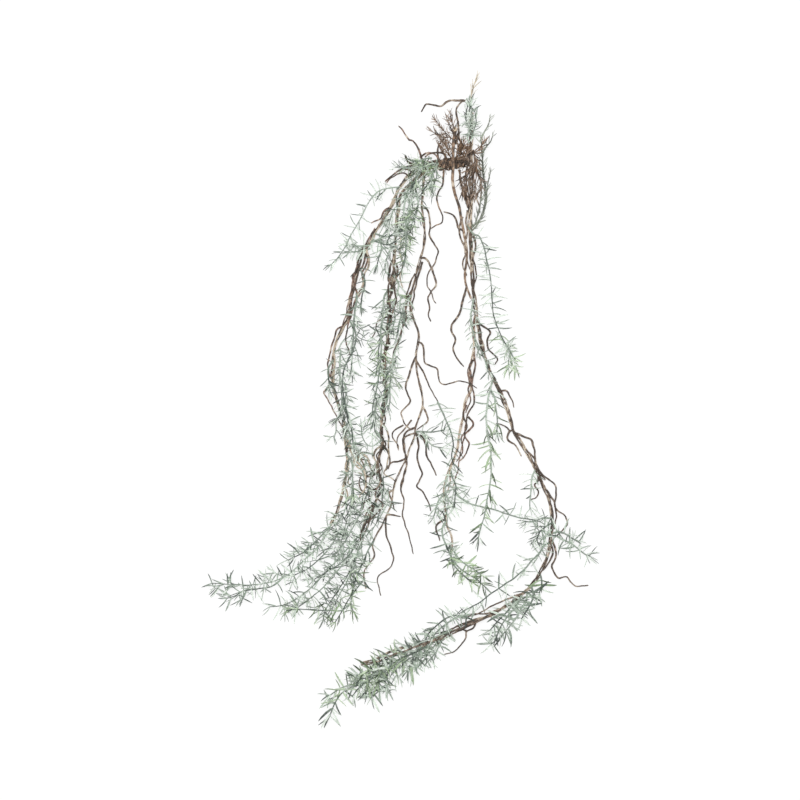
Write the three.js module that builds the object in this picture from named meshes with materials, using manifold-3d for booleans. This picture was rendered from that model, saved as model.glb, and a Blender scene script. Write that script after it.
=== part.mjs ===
// Asparagus fern sprig, cut and laid on a flat surface.
// Millimetres, +Z up. The sprig lies in the XY plane with its cut stem towards +Y, and rests on Z = 0.
// A root knot binds one cut stem and five woody strands. The strands carry aerial roots,
// and thin green or dry brown shoots of needles grow from them.
import * as THREE from "three";
import { mergeVertices } from "three/addons/utils/BufferGeometryUtils.js";
import Module from "manifold-3d";

const wasm = await Module();
wasm.setup();

// Driving dimensions
const NEEDLE_RADIUS = 0.7; // half of a needle's width, used to keep needles clear of each other
const NEEDLE_BASE = 1.7; // length of the shoot that a needle's root takes up
const NEEDLE_SPREAD = { low: 0.75, high: 1.2 }; // angle to the shoot, radians
const NEEDLE_SWAY = 0.7; // most that a needle leans from the middle of the shoot's side, radians
const NEEDLE_SHRINK = [1, 0.8, 0.62]; // lengths tried where a full needle would touch its neighbours
const NEEDLE_TURNS = [0, 0.5, -0.5, 0.9, -0.9]; // leans tried for the same reason, radians
const WHORL_TWIST = 0.75; // turn from one whorl of needles to the next, radians
const SHOOT_RADIUS = { root: 1.15, tip: 0.9 };
const SHOOT_SIDES = 3; // each side carries one needle of a whorl
const SHOOT_BARE = 4; // length of shoot without needles at its root
const STEM_SIDES = 5;
const STEM_STEP = 15;
const ROOT_RADIUS = { root: 0.95, tip: 0.5 };
const ROOT_SIDES = 3;
const ROOT_STEP = 9.5;
const SEAT_GAP = 0.3; // between a shoot and the strand that carries it
const SEAT_FACET = 0.85; // how far the flat sides of a tube lie inside its round size
const NEEDLE_CLEARANCE = 0.35; // between a needle and every other piece
const FLOOR_CLEARANCE = 0.3; // between a needle's tip and the surface under it
const KNOT = { coreRadius: 5.4, wrapRadius: 5.6, wrapThickness: 1.1, wraps: 2, turns: 2.5 };

// Finishes
const cutWood = new THREE.MeshStandardMaterial({ color: 0xa77f58, roughness: 0.8, metalness: 0 });
const redBark = new THREE.MeshStandardMaterial({ color: 0x7a5540, roughness: 0.8, metalness: 0 });
const darkBark = new THREE.MeshStandardMaterial({ color: 0x4b3629, roughness: 0.85, metalness: 0 });
const sageNeedles = new THREE.MeshStandardMaterial({ color: 0x9db5a3, roughness: 0.7, metalness: 0 });
const freshNeedles = new THREE.MeshStandardMaterial({ color: 0x8ca87c, roughness: 0.65, metalness: 0 });
const oliveNeedles = new THREE.MeshStandardMaterial({ color: 0x76806c, roughness: 0.7, metalness: 0 });
const dryNeedles = new THREE.MeshStandardMaterial({ color: 0x6d4f3a, roughness: 0.85, metalness: 0 });
const paleNeedles = new THREE.MeshStandardMaterial({ color: 0xc9c2b2, roughness: 0.75, metalness: 0 });

// Woody strands. Each has a stem and the twigs and aerial roots that grow from it.
// All routes are points [x, y, z].
const KNOT_AXIS = [[83.2, 286, 5.8], [68, 285, 5.8], [53, 283.5, 5.8], [38, 282, 5.8]];

const KNOT_ROOTS = [
  [[52, 281, 4], [52.5, 272, 4], [51, 260, 5], [46, 248, 6], [44, 239, 7], [47.5, 229, 8],
    [51.5, 220, 9], [49.5, 213, 10], [43, 209, 11], [38, 206, 11.5]],
  [[46, 287, 9], [45, 297, 13], [48, 306, 15], [52, 313, 15]],
  [[56, 289, 9], [52, 296, 11], [44, 296.5, 11], [36, 295, 11], [30, 291.5, 10.5]],
];

const STRANDS = [
  {
    name: "main_stem",
    material: cutWood,
    radius: { root: 2.3, tip: 1.4 },
    route: [[66, 324, 17], [64, 308, 16.5], [63.5, 292, 14.4], [63.5, 277, 14.4], [63, 262, 12.5],
      [66, 247, 10], [71, 232, 8], [74, 215, 6.5], [77, 200, 5.5], [80, 182, 5], [80, 168, 4.5],
      [78, 152, 4], [79, 140, 4], [82.3, 130, 4.3], [85.1, 123, 4.6]],
    roots: [
      [[66, 306, 16], [69.5, 316, 17], [70, 327, 17], [68, 338, 17.5], [67.5, 347, 18], [71, 355, 18.5],
        [78, 358, 18]],
      [[77, 358, 18], [66, 358.3, 19], [57, 357.2, 19], [48, 352, 18], [40, 352.5, 17], [31, 354.5, 16],
        [26, 346, 15]],
      [[75.5, 204, 5.8], [70, 207, 7], [68, 215, 8], [63, 222, 8], [54, 225.5, 7]],
      [[80, 135, 4.2], [76, 122, 5], [73, 108, 5], [69, 99, 5], [63, 90, 5], [62, 82, 5], [66.5, 73, 5],
        [64, 62, 5], [67, 53, 5], [76, 41, 4]],
    ],
  },
  {
    name: "strand_right",
    material: darkBark,
    radius: { root: 2.3, tip: 1.2 },
    route: [[86, 345, 10], [85.5, 325, 8], [85, 305, 7], [86, 286, 6.5], [85.5, 265, 6.2], [86, 245, 6],
      [84, 228, 5.5], [84.5, 210, 5], [85.5, 190, 4.5], [86.5, 165, 4], [88, 140, 4], [89.5, 118, 4],
      [92, 100, 4], [96, 80, 4], [99.5, 60, 4], [105, 42, 4], [112, 26, 4], [120, 12, 4], [127, -7, 4],
      [133, -25, 4], [137, -39, 4], [147, -54, 4], [157, -71, 4], [165, -86, 4], [172, -102, 4],
      [179, -118, 3.5], [182.5, -135, 2.2], [183, -152, 1], [181.5, -167, 1.9], [177.5, -185, 3],
      [171, -203, 3.5], [163, -217, 4], [151, -230, 5], [138, -241, 5], [124, -250, 5], [110, -258, 5],
      [92, -264.5, 5], [75, -270, 5], [60, -278, 5], [47, -288, 4], [32, -293, 2.2], [15, -295.5, 0.6],
      [0, -299, 2.2], [-15, -305, 4], [-30, -313, 5], [-46, -316.5, 5]],
    roots: [
      [[94, 92, 4], [104, 86, 6], [109, 80, 7], [105, 71, 7], [107, 61, 7], [117, 50, 6], [114.5, 43, 5]],
      [[121, 11, 4], [128.5, 11, 6], [133, 3, 6], [137, -8, 5]],
      [[136.3, -36, 4], [131.5, -38, 5], [130, -47, 5], [140, -55, 5], [145, -66, 4]],
      [[132, -37.6, 5], [127, -32, 6], [117, -28, 6]],
      [[137, -39, 4], [148, -43.5, 6], [158, -48.5, 7], [161.5, -60, 7], [163, -75, 6.5], [170, -88, 6.5],
        [180, -97, 7], [187, -105, 7], [186.5, -117, 6], [185.5, -127, 5], [190, -133, 6], [199, -140, 6],
        [201.5, -149, 6], [194, -158, 5.5], [187, -164, 5]],
      [[166, -88, 4], [166, -97, 5], [161, -102.5, 6], [166, -110, 6], [164, -117.5, 6],
        [157, -119.5, 5]],
      [[181.5, -167, 2.5], [186.5, -178, 4], [187.5, -189, 4], [182.5, -199, 4], [186, -208, 4],
        [191, -215, 4], [200, -212, 4], [206, -220, 4], [212, -223.5, 4], [226, -223.5, 3]],
      [[127, -248.2, 5], [114, -253, 8.5], [99, -256, 10], [82, -257.5, 11]],
      [[92, -264.5, 5], [88, -274, 6], [80, -278, 6.5], [79, -285, 6], [72, -296, 5], [65, -302, 4],
        [54, -306, 3]],
      [[80.5, -277.8, 6.5], [74, -275, 6], [70, -272, 5]],
    ],
  },
  {
    name: "strand_right_inner",
    material: redBark,
    carrier: "strand_right",
    radius: { root: 1.6, tip: 1 },
    route: [[91.5, 102, 6], [88.5, 88, 7], [88.5, 72, 7], [89, 58, 7], [86, 46, 6], [82.5, 34, 6],
      [84, 22, 6], [85, 12, 6], [80, 2, 6], [77.5, -8, 6], [76.5, -20, 6], [73, -32, 6], [70.5, -44, 6],
      [69.5, -56, 6], [66, -68, 6], [60, -81, 6], [55.5, -94, 5], [53, -108, 5], [52.5, -118, 5],
      [55, -129, 5], [55, -141, 5], [57, -152, 5], [61.5, -162, 4.5], [63, -173, 4.5], [62, -185, 4.5]],
    roots: [
      [[89, 58, 7], [90, 44, 8], [88, 30, 8], [87, 16, 8], [89.5, 4, 8], [88, -6, 8], [82, -16, 8],
        [80, -28, 8], [77.5, -42, 8], [74.5, -55, 8], [72, -70, 8], [69, -85, 8], [66, -97, 8],
        [63, -107, 8]],
      [[81.5, -20, 8], [88, -28, 8.5], [84, -36, 8.5], [78, -43, 8], [82.5, -54, 8.5], [77, -67, 8.5],
        [71.5, -73, 8]],
      [[54.6, -143, 5], [45, -149, 5], [43, -156, 5], [48, -168.5, 4]],
    ],
  },
  {
    name: "strand_left_outer",
    material: redBark,
    radius: { root: 2.2, tip: 1.2 },
    route: [[37.2, 285, 8], [31, 283.5, 8], [22, 278, 8], [10, 268, 8], [1, 257, 7.5], [-5, 246, 7],
      [-11, 232, 6], [-20, 217, 5.5], [-29, 204, 5], [-36, 190, 4.5], [-45, 177, 4], [-50, 162, 4],
      [-53, 147, 4], [-56, 132, 4], [-60, 116, 4], [-62, 100, 4], [-68, 88, 4], [-75, 74, 4],
      [-79, 59, 4], [-80.5, 42, 4], [-82, 27, 4], [-80, 13, 4], [-75, -2, 3.6], [-70, -16, 3],
      [-67, -31, 1.8], [-66, -46, 0.8], [-64.5, -60, 1.8], [-63, -76, 3], [-65, -92, 4], [-68, -107, 4],
      [-70.5, -119, 4.5], [-76, -135, 6], [-83, -150, 8]],
    roots: [
      [[28, 281.5, 8], [25, 292, 11], [21, 304, 13], [15, 311.5, 13], [11, 312.5, 13], [5, 320, 12],
        [-1, 328, 11]],
      [[19, 275.5, 8], [14, 283, 11], [9, 286, 12], [8, 292, 12]],
      [[16, 273, 8], [8, 277, 11], [-1, 275, 12], [-9, 270, 12], [-17, 262, 11]],
      [[-11, 232, 6], [-18, 228, 7], [-24, 219, 7], [-34, 212.5, 6]],
      [[-42, 181, 4.2], [-39, 167, 5], [-45, 152, 5], [-44, 139, 5], [-50, 124, 5]],
      [[-38, 186, 5], [-41, 174, 6], [-47, 158, 6], [-56, 150, 5.5], [-54, 138, 5.5], [-52, 125, 5.5],
        [-57, 112, 5.5], [-59, 100, 5], [-64, 91, 5], [-76, 84, 5], [-80, 70, 5], [-84, 56, 5],
        [-87, 42, 5], [-86, 32, 5], [-81, 22, 5], [-86, 16, 5], [-91, 9, 5], [-86, 0, 5], [-81, -10, 5],
        [-76, -20, 4.5], [-71, -30, 4], [-67, -40, 3]],
      [[-65, -56, 2.4], [-57, -60, 4], [-51, -69, 4.5], [-40, -72, 4.5], [-35, -78, 4.5]],
    ],
  },
  {
    name: "strand_left_middle",
    material: darkBark,
    radius: { root: 2, tip: 1.1 },
    route: [[37.2, 279.5, 4.6], [31, 276, 4.6], [22, 268.5, 4.6], [10, 258, 4.6], [1, 247, 4.5],
      [-2, 232, 4.5], [-4, 215, 4.5], [-5, 198, 4.5], [-6, 180, 4.5], [-7, 163, 4.5], [-6.5, 150, 4.5],
      [-10, 138, 4.5], [-12.5, 122, 4.5], [-13, 105, 4.5], [-14, 88, 4.5], [-16, 70, 4.5],
      [-18.5, 52, 4.5], [-19, 34, 4.5], [-16.5, 18, 4.5], [-17, 4, 4.5], [-20, -10, 4.5],
      [-22.5, -26, 4.5], [-22, -40, 4.5], [-20.5, -54, 4.5], [-25, -68, 4.5], [-27, -82, 4.5],
      [-23.5, -94, 4.5], [-24, -107, 4.5], [-28.5, -121, 4.5], [-36, -135, 5], [-42.5, -149, 6],
      [-47, -162, 8]],
    roots: [
      [[-6.2, 174, 4.6], [-12, 161, 5], [-13.5, 146, 5.5], [-9, 130, 6], [-15, 114, 6], [-10, 98, 6],
        [-17, 82, 6], [-12, 68, 6], [-21, 52, 6], [-16, 36, 6], [-21, 22, 6], [-14, 8, 6], [-22, -8, 6],
        [-18, -24, 6], [-25, -40, 6], [-17, -54, 6], [-28, -66, 6], [-22, -80, 6], [-28, -94, 6],
        [-20, -106, 6], [-30, -122, 5.5]],
      [[-13, 101, 4.6], [-23, 97, 5], [-29, 90, 5], [-30, 81, 5], [-33, 75, 4.5]],
      [[-20.5, -54, 4.6], [-15, -62, 5], [-12, -72, 5], [-14, -82, 5]],
      [[-26, -88, 4.6], [-37, -90, 5.5], [-43, -97, 5.5], [-41, -104, 5.5], [-32, -108, 5.5],
        [-26, -113, 5]],
    ],
  },
  {
    name: "strand_left_inner",
    material: darkBark,
    radius: { root: 1.8, tip: 0.8 },
    route: [[37.2, 282, 10.4], [33, 279.5, 11.2], [29.5, 271, 11.2], [28, 259, 9.5], [27, 246, 7.5],
      [26.5, 230, 6], [28.5, 213, 5], [30, 197, 4.5], [28, 182, 4.5], [24, 168, 4.5], [20, 154, 4.5],
      [16.5, 140, 4.5], [13, 124, 4.5], [12.5, 109, 4.5], [17, 95, 4.5], [22, 82, 4.5], [22, 68, 4.5],
      [19, 55, 4.5], [19.5, 42, 4.5], [22, 26, 4.5], [26, 10, 4.5], [27, -5, 4.5], [24, -18, 4.5],
      [19.5, -30, 4.5], [17, -44, 4.5], [12, -58, 4.5], [8, -70, 4.5], [1, -84, 4.5], [-5, -96, 4.5],
      [-8, -110, 4.5], [-10, -124, 4.5], [-15.5, -137, 4.5], [-21, -150, 4.5], [-28, -163, 4.5],
      [-32.5, -174, 4.5], [-31, -187, 4.5], [-38, -198, 4.5], [-43, -208, 4], [-41, -227, 3]],
    roots: [
      [[15, 133, 4.6], [9, 122, 5], [6, 106, 5], [3, 90, 5], [1, 76, 5]],
      [[19.3, 48, 4.5], [26, 36, 5], [33, 22, 5.5], [40, 9, 6], [46, -4, 7]],
      [[22, 70, 4.6], [27, 67, 6], [29.5, 57, 7], [30, 46, 7], [36, 41.5, 7], [43, 38, 8], [46, 30, 9],
        [48, 22, 10], [54, 18.5, 11], [62, 20, 12], [70, 22.5, 12.5], [80, 21.5, 13], [92, 15, 12]],
      [[18.8, 52, 4.5], [14.5, 41, 5], [11, 28, 5], [6.5, 18, 5], [8, 8, 5], [13, 0, 5], [8, -8, 5],
        [1.5, -16, 5], [4, -26, 5], [11, -34, 5]],
      [[18.6, -37, 4.6], [22.5, -52, 5], [21.5, -66, 5], [22, -77, 5], [26, -88, 5], [23, -97, 5],
        [20.5, -104, 5], [28, -111, 5], [33, -121, 5], [37, -133, 4]],
      [[18, -41, 4.6], [26, -44, 6], [31, -54, 6], [32, -66, 6], [37, -77, 6], [43, -90, 5]],
      [[8, -70, 4.6], [8, -80, 5.5], [5, -90, 5.5], [0.5, -101, 5.5], [1.5, -112, 5.5], [4.5, -122, 5.5],
        [3, -136, 5.5], [6.5, -150, 5], [11.5, -166, 4], [16, -184, 3]],
      [[18.8, -33, 4.6], [8, -38, 5.5], [3.5, -48, 5.5], [4.5, -60, 5.5], [8, -69, 5]],
      [[27, -7, 4.6], [32, -17, 5.5], [34, -25, 5.5], [28, -31, 5.5], [20, -36, 5]],
      [[-16.5, -139, 4.6], [-17.5, -154, 5], [-14, -170, 5], [-9, -184, 5], [-8, -193, 5], [-13, -203, 5],
        [-22, -209, 5], [-27, -217, 4.5], [-23, -235, 3]],
      [[26.6, 234, 6.3], [33, 228, 7], [36, 217, 7], [36, 206, 7], [36, 197, 7], [42, 187, 7],
        [46.5, 179, 7], [43, 168, 7], [37.5, 158, 7], [33, 147, 7], [32.5, 137, 7], [37, 130.5, 7],
        [40, 121, 6], [43, 117, 5]],
      [[24.6, 171, 4.6], [31, 170, 6], [36, 162, 7], [42, 148, 7], [43.5, 138, 7], [37, 130.5, 7],
        [33, 121, 7], [35, 111, 7], [34, 102, 6], [36.5, 95, 5]],
    ],
  },
];

// Leafy shoots. Each grows from the piece named as its carrier, near the first route point.
// spacing is the distance between whorls of needles and needle is a needle's length.
// Forks leave the shoot's own route.
const SHOOTS = [
  { name: "shoot_crown", carrier: "strand_right", material: sageNeedles, spacing: 5.5, needle: 12,
    route: [[86, 316, 8], [85, 329, 13.5], [83, 343, 14], [84, 357, 14]] },
  { name: "shoot_crown_tip", carrier: "shoot_crown", material: paleNeedles, spacing: 6.5, needle: 12,
    spread: 0.4,
    route: [[84, 358, 14], [85.5, 366, 14.5], [88, 375, 14.5], [90, 382, 14]] },
  { name: "shoot_right_loop", carrier: "strand_right", material: oliveNeedles,
    spacing: 12.5, needle: 13,
    route: [[84.5, 210, 5], [91, 211, 10], [99, 221, 12], [104, 241, 12], [102, 262, 12], [99.5, 282, 12],
      [98.5, 300, 12], [97, 315, 11.5]] },
  { name: "shoot_dry_left", carrier: "main_stem", material: dryNeedles, spacing: 5.5, needle: 10,
    route: [[65, 310, 16.5], [58, 316, 20], [50, 325, 21], [43, 334, 21]],
    forks: [[[60, 314.5, 19.5], [52, 314, 20], [44, 318, 20], [36, 322, 19]]] },
  { name: "shoot_dry_right", carrier: "strand_right", material: dryNeedles, spacing: 7, needle: 11,
    route: [[85.5, 300, 7], [90, 291, 11.5], [92, 278, 12.5], [91, 262, 12], [88.5, 248, 11]],
    forks: [[[91, 284, 12], [82, 276, 13.5], [77, 264, 13], [77, 248, 11.5]]] },
  { name: "shoot_dry_knot", carrier: "binding_knot", material: dryNeedles, spacing: 5, needle: 12,
    route: [[72, 289, 11], [73, 298, 15], [76, 307, 16]] },
  { name: "shoot_knot", carrier: "binding_knot", material: sageNeedles, spacing: 6.5, needle: 13,
    route: [[44, 283, 12], [38, 283, 15.5], [30, 280, 16.5], [20, 275, 16.5], [12, 266, 15]],
    forks: [[[31, 280.5, 16.4], [36, 270, 17], [38, 257, 15], [40, 246, 12]]] },
  { name: "shoot_arch", carrier: "strand_left_outer", material: sageNeedles, spacing: 10.5, needle: 14,
    route: [[0, 256, 7.5], [-9, 254.5, 11], [-22, 252, 12], [-31, 246, 13], [-38, 236, 13],
      [-45, 222, 13], [-53, 207, 12], [-60, 195, 12], [-67, 182, 11], [-74, 171, 10], [-82, 163, 9]] },
  { name: "shoot_upper", carrier: "strand_left_middle", material: sageNeedles, spacing: 6.5, needle: 15,
    route: [[3, 250, 4.5], [10, 242, 11], [12, 226, 13], [10, 210, 13.5], [8, 195, 13.5], [7, 180, 13],
      [5, 167, 12], [2, 156, 11]] },
  { name: "shoot_bridge", carrier: "strand_left_outer", material: sageNeedles, spacing: 7.5, needle: 14,
    route: [[-36, 190, 4.5], [-28, 192, 10], [-17, 195, 12], [-6, 200, 13]] },
  { name: "shoot_left_gap", carrier: "strand_left_middle", material: sageNeedles,
    spacing: 6, needle: 13,
    route: [[-1.5, 234, 4.5], [-7, 229, 10], [-11, 220, 12], [-13, 213, 12]] },
  { name: "shoot_left_gap_low", carrier: "strand_left_middle", material: sageNeedles,
    spacing: 6, needle: 13,
    route: [[-5.5, 186, 4.5], [-12, 180, 10], [-16, 169, 11], [-19, 158, 11]] },
  { name: "shoot_centre_gap", carrier: "strand_left_inner", material: sageNeedles,
    spacing: 6.5, needle: 13,
    route: [[9, 122, 5], [3, 124, 10], [-0.5, 114, 12], [1, 102, 12], [-1.5, 90, 12]] },
  { name: "shoot_outer", carrier: "strand_left_outer", material: sageNeedles, spacing: 9.5, needle: 14,
    route: [[-52.3, 128, 5.5], [-52, 119, 10], [-54, 107, 11], [-55, 92, 12], [-53, 76, 12],
      [-56, 60, 12], [-63, 46, 12], [-68, 32, 12], [-69, 16, 12], [-67, 0, 12], [-64, -14, 12],
      [-60, -28, 12], [-57, -42, 11], [-56, -53, 10]] },
  { name: "shoot_outer_low", carrier: "strand_left_outer", material: sageNeedles,
    spacing: 8.5, needle: 13,
    route: [[-70, -16, 4], [-76, -25, 9.5], [-77, -35, 10], [-79, -45, 8]] },
  { name: "shoot_middle", carrier: "strand_left_middle", material: sageNeedles, spacing: 7, needle: 15,
    route: [[-11, 134, 4.5], [-18, 126, 10.5], [-20, 112, 12], [-21, 97, 12.5], [-23, 82, 13],
      [-22, 66, 13], [-23, 50, 13], [-25, 34, 13], [-27, 18, 13], [-30, 3, 13], [-33, -10, 13],
      [-31, -24, 12.5], [-30, -38, 11]] },
  { name: "shoot_twin", carrier: "strand_left_inner", material: sageNeedles, spacing: 8.5, needle: 14,
    route: [[1.5, 78, 5], [-3, 66, 11], [-7, 54, 12], [-9, 42, 12.5], [-11, 30, 12.5], [-12, 16, 12.5],
      [-12, 2, 12], [-14, -11, 11]] },
  { name: "shoot_lower", carrier: "strand_left_outer", material: sageNeedles, spacing: 12.5, needle: 14,
    route: [[-63.5, -66, 3], [-58, -75, 9], [-57, -90, 10], [-57.5, -106, 10.5], [-59, -121, 10.5],
      [-62, -135, 10.5], [-65, -149, 10], [-68, -160, 9]] },
  { name: "shoot_tangle_upper", carrier: "strand_left_middle", material: sageNeedles,
    spacing: 6, needle: 13,
    route: [[-21.5, -47, 4.5], [-32, -55, 10], [-40, -53, 11], [-45, -44, 11], [-46, -33, 11]] },
  { name: "shoot_tangle_side", carrier: "strand_left_outer", material: sageNeedles,
    spacing: 6, needle: 13,
    route: [[-51, -69, 4.5], [-47, -79, 10], [-44, -91, 11], [-42, -103, 11], [-44, -115, 10]] },
  { name: "shoot_tangle_lower", carrier: "strand_left_middle", material: sageNeedles,
    spacing: 6, needle: 14,
    route: [[-20.5, -105, 6], [-15.5, -109, 10.5], [-14, -119, 11.5], [-19, -132, 12], [-26, -144, 12],
      [-33, -156, 12]] },
  { name: "shoot_outer_tail", carrier: "strand_left_outer", material: sageNeedles,
    spacing: 9.5, needle: 16,
    route: [[-82, -148, 8], [-90, -164, 11.5], [-100, -178, 12.5], [-112, -189, 13], [-123, -200, 13],
      [-135, -210, 12.5], [-150, -217, 12], [-168, -221, 11], [-188, -222, 10], [-210, -221, 9],
      [-226, -219.5, 8]],
    forks: [[[-140, -213, 12], [-155, -224, 11], [-172, -227, 10], [-188, -229, 9], [-198, -235, 8.5],
      [-208, -238, 8]]] },
  { name: "shoot_middle_tail", carrier: "strand_left_middle", material: sageNeedles,
    spacing: 10.5, needle: 15,
    route: [[-46.5, -160, 8], [-58, -172, 12], [-70, -186, 12.5], [-84, -201, 12.5], [-97, -215, 12.5],
      [-111, -229, 12], [-127, -240, 11.5], [-141, -246, 11], [-156, -248, 10]] },
  { name: "shoot_middle_fall", carrier: "strand_left_middle", material: sageNeedles,
    spacing: 9.5, needle: 14,
    route: [[-44, -153, 7], [-48, -174, 10], [-55, -194, 10], [-64, -212, 10], [-74, -228, 10],
      [-83, -241, 9], [-90, -254, 8.5], [-92, -264, 8]] },
  { name: "shoot_inner_tail", carrier: "strand_left_inner", material: freshNeedles,
    spacing: 9.5, needle: 14,
    route: [[-31, -169, 4.5], [-38, -180, 9.5], [-45, -195, 10], [-52, -212, 10], [-57, -230, 10],
      [-59, -245, 9.5], [-56, -254, 8]],
    forks: [[[-58.8, -243, 9.6], [-70, -252, 12.5], [-86, -252, 15], [-104, -251.5, 14],
      [-122, -251, 12], [-136, -253, 10]]] },
  { name: "shoot_branch", carrier: "strand_left_inner", material: sageNeedles, spacing: 9, needle: 15,
    route: [[45, -2, 7], [51, -15, 10.5], [57, -28, 11], [62, -41, 11.5], [64, -54, 12], [62, -66, 12],
      [65, -78, 11.5]] },
  { name: "shoot_inner_low", carrier: "strand_left_inner", material: sageNeedles,
    spacing: 8.5, needle: 14,
    route: [[18.5, -38, 4.5], [28, -38, 9.5], [40, -38.5, 10.5], [49, -37, 10.5]],
    forks: [[[25, -38, 8.5], [31, -47, 10.5], [39, -55, 11], [50, -57.5, 11]]] },
  { name: "shoot_right_side", carrier: "strand_right", material: sageNeedles, spacing: 10.5, needle: 14,
    route: [[85.3, 196, 4.5], [93, 198, 9.5], [98, 190, 11], [102, 178, 12], [105, 163, 12],
      [108, 149, 12], [110, 134, 12], [110.5, 118, 12], [112.5, 102, 12], [117, 87, 12], [123, 74, 12],
      [130, 62, 11.5], [135, 51, 11]] },
  { name: "shoot_right_strand", carrier: "strand_right", material: sageNeedles,
    spacing: 9.5, needle: 12,
    route: [[89, 124, 4], [86.5, 112, 10.5], [85, 99, 12], [87, 85, 12.5], [91, 71, 12.5], [97, 59, 12],
      [102, 46, 12], [106, 33, 11]] },
  { name: "shoot_hanging", carrier: "strand_right", material: freshNeedles, spacing: 9.5, needle: 15,
    route: [[112, 26, 4], [109, 15, 9.5], [106, 2, 11], [104, -14, 11.5], [103.5, -30, 11.5],
      [105.5, -46, 11.5], [108.5, -60, 11.5], [109.5, -76, 11.5], [109, -92, 13], [106.5, -108, 15],
      [103.5, -124, 16.5], [101, -138, 16], [97, -152, 13], [94, -164, 11]],
    forks: [[[108.6, 13, 9.7], [113, 4, 11], [115, -9, 11.5], [116.5, -24, 11.5], [116, -38, 10.5]]] },
  { name: "shoot_right_inner", carrier: "strand_right_inner", material: sageNeedles,
    spacing: 7.5, needle: 15,
    route: [[61, -79, 6], [62, -91, 11], [67, -103, 12.5], [66, -116, 11.5], [65, -128, 10]] },
  { name: "shoot_right_inner_low", carrier: "strand_right_inner", material: sageNeedles,
    spacing: 5.5, needle: 12,
    route: [[53, -113, 5], [47, -120, 10], [43, -130, 10], [40, -141, 9]] },
  { name: "shoot_cross", carrier: "strand_right_inner", material: sageNeedles,
    spacing: 10.5, needle: 13,
    route: [[63.5, -106, 8], [72, -117, 10.5], [84, -124, 10.5], [98, -128, 10], [112, -131, 10],
      [127, -136, 10.5], [141, -141, 10.5], [155, -143, 10.5], [168, -146, 10.5]] },
  { name: "shoot_shoulder", carrier: "strand_right", material: sageNeedles, spacing: 9, needle: 13,
    route: [[163, -83, 4], [158, -94, 11], [157, -109, 12.5], [155.5, -122, 12.5], [155.5, -131, 13]] },
  { name: "shoot_elbow_knot", carrier: "strand_right", material: sageNeedles, spacing: 6.5, needle: 13,
    route: [[182.5, -148, 2], [175, -152, 9.5], [168, -158, 11], [164, -168, 10.5]] },
  { name: "shoot_side_tip", carrier: "strand_right", material: sageNeedles, spacing: 8.5, needle: 15,
    route: [[188, -163, 5], [194, -167, 10], [204, -171, 10], [214, -179, 10], [222, -185, 9.5],
      [228, -187, 9]] },
  { name: "shoot_loop", carrier: "strand_right", material: sageNeedles, spacing: 10.5, needle: 14,
    route: [[180.5, -172, 2.6], [174, -174, 9.5], [168, -182, 11], [160, -191, 12], [150, -202, 12],
      [138, -213, 12], [124, -222, 12], [110, -232, 12], [96, -242, 12.5], [83, -249, 13]] },
  { name: "shoot_right_tail", carrier: "strand_right_inner", material: freshNeedles,
    spacing: 7, needle: 15,
    route: [[55.5, -146, 5], [51, -153, 9.5], [51.5, -164, 10.5], [57, -178, 11], [63, -191, 11.5],
      [71, -201, 12], [82, -209, 12], [92, -215, 12], [99, -222, 11]] },
  { name: "shoot_tail_upper", carrier: "strand_right", material: sageNeedles, spacing: 6.5, needle: 14,
    route: [[84, -257.3, 11], [75, -258.5, 15], [65, -262, 16], [55, -268, 16], [46, -276, 15],
      [40, -283, 13]] },
  { name: "shoot_tail", carrier: "strand_right", material: sageNeedles, spacing: 6.5, needle: 18,
    route: [[31, -293.2, 2.7], [22, -299.5, 10], [8, -307.5, 11.5], [-6, -316, 12], [-20, -326, 12.5],
      [-34, -334, 12.5], [-48, -340.5, 12.5], [-62, -345.5, 12], [-72, -354, 11], [-79, -367, 10],
      [-84, -379, 9]],
    forks: [[[-20, -326, 12.5], [-26, -338, 11], [-30, -348, 10], [-34, -357, 9]]] },
  { name: "shoot_tail_low", carrier: "strand_right", material: sageNeedles, spacing: 6.5, needle: 13,
    route: [[48, -287, 4.2], [40, -297, 9.5], [33, -306, 9.5], [27, -315, 9]] },
  { name: "shoot_tail_side", carrier: "strand_right", material: freshNeedles, spacing: 6, needle: 16,
    route: [[-27, -311.3, 4.8], [-33, -320, 10], [-42, -327, 10.5], [-54, -331, 10]] },
  { name: "shoot_elbow", carrier: "strand_right", material: sageNeedles, spacing: 7, needle: 16,
    route: [[152, -229, 5], [152, -239, 10], [146, -250, 11], [139, -262, 11.5], [130, -274, 11],
      [120, -284, 10], [110, -293, 9]] },
  { name: "shoot_elbow_tuft", carrier: "strand_right", material: sageNeedles, spacing: 6.5, needle: 15,
    route: [[168, -208, 3.6], [170, -215, 9], [170, -223, 10], [167, -231, 10]] },
];

// Every tube and needle made so far, as capsules that later needles keep clear of.
const capsules = [];

function vector(point) {
  return new THREE.Vector3(...point);
}

function curveThrough(points) {
  return new THREE.CatmullRomCurve3(points, false, "centripetal");
}

// A repeatable stream of numbers from 0 to 1.
function seeded(seed) {
  let state = seed;
  return () => {
    state = (state + 0x6d2b79f5) | 0;
    let mixed = Math.imul(state ^ (state >>> 15), 1 | state);
    mixed = (mixed + Math.imul(mixed ^ (mixed >>> 7), 61 | mixed)) ^ mixed;
    return ((mixed ^ (mixed >>> 14)) >>> 0) / 4294967296;
  };
}

// A closed geometry as a solid that can be joined and cut.
function solidOf(geometry) {
  geometry.deleteAttribute("normal");
  geometry.deleteAttribute("uv");
  const merged = mergeVertices(geometry, 1e-5);
  return new wasm.Manifold(
    new wasm.Mesh({
      numProp: 3,
      vertProperties: merged.attributes.position.array,
      triVerts: new Uint32Array(merged.index.array),
    }),
  );
}

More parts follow.
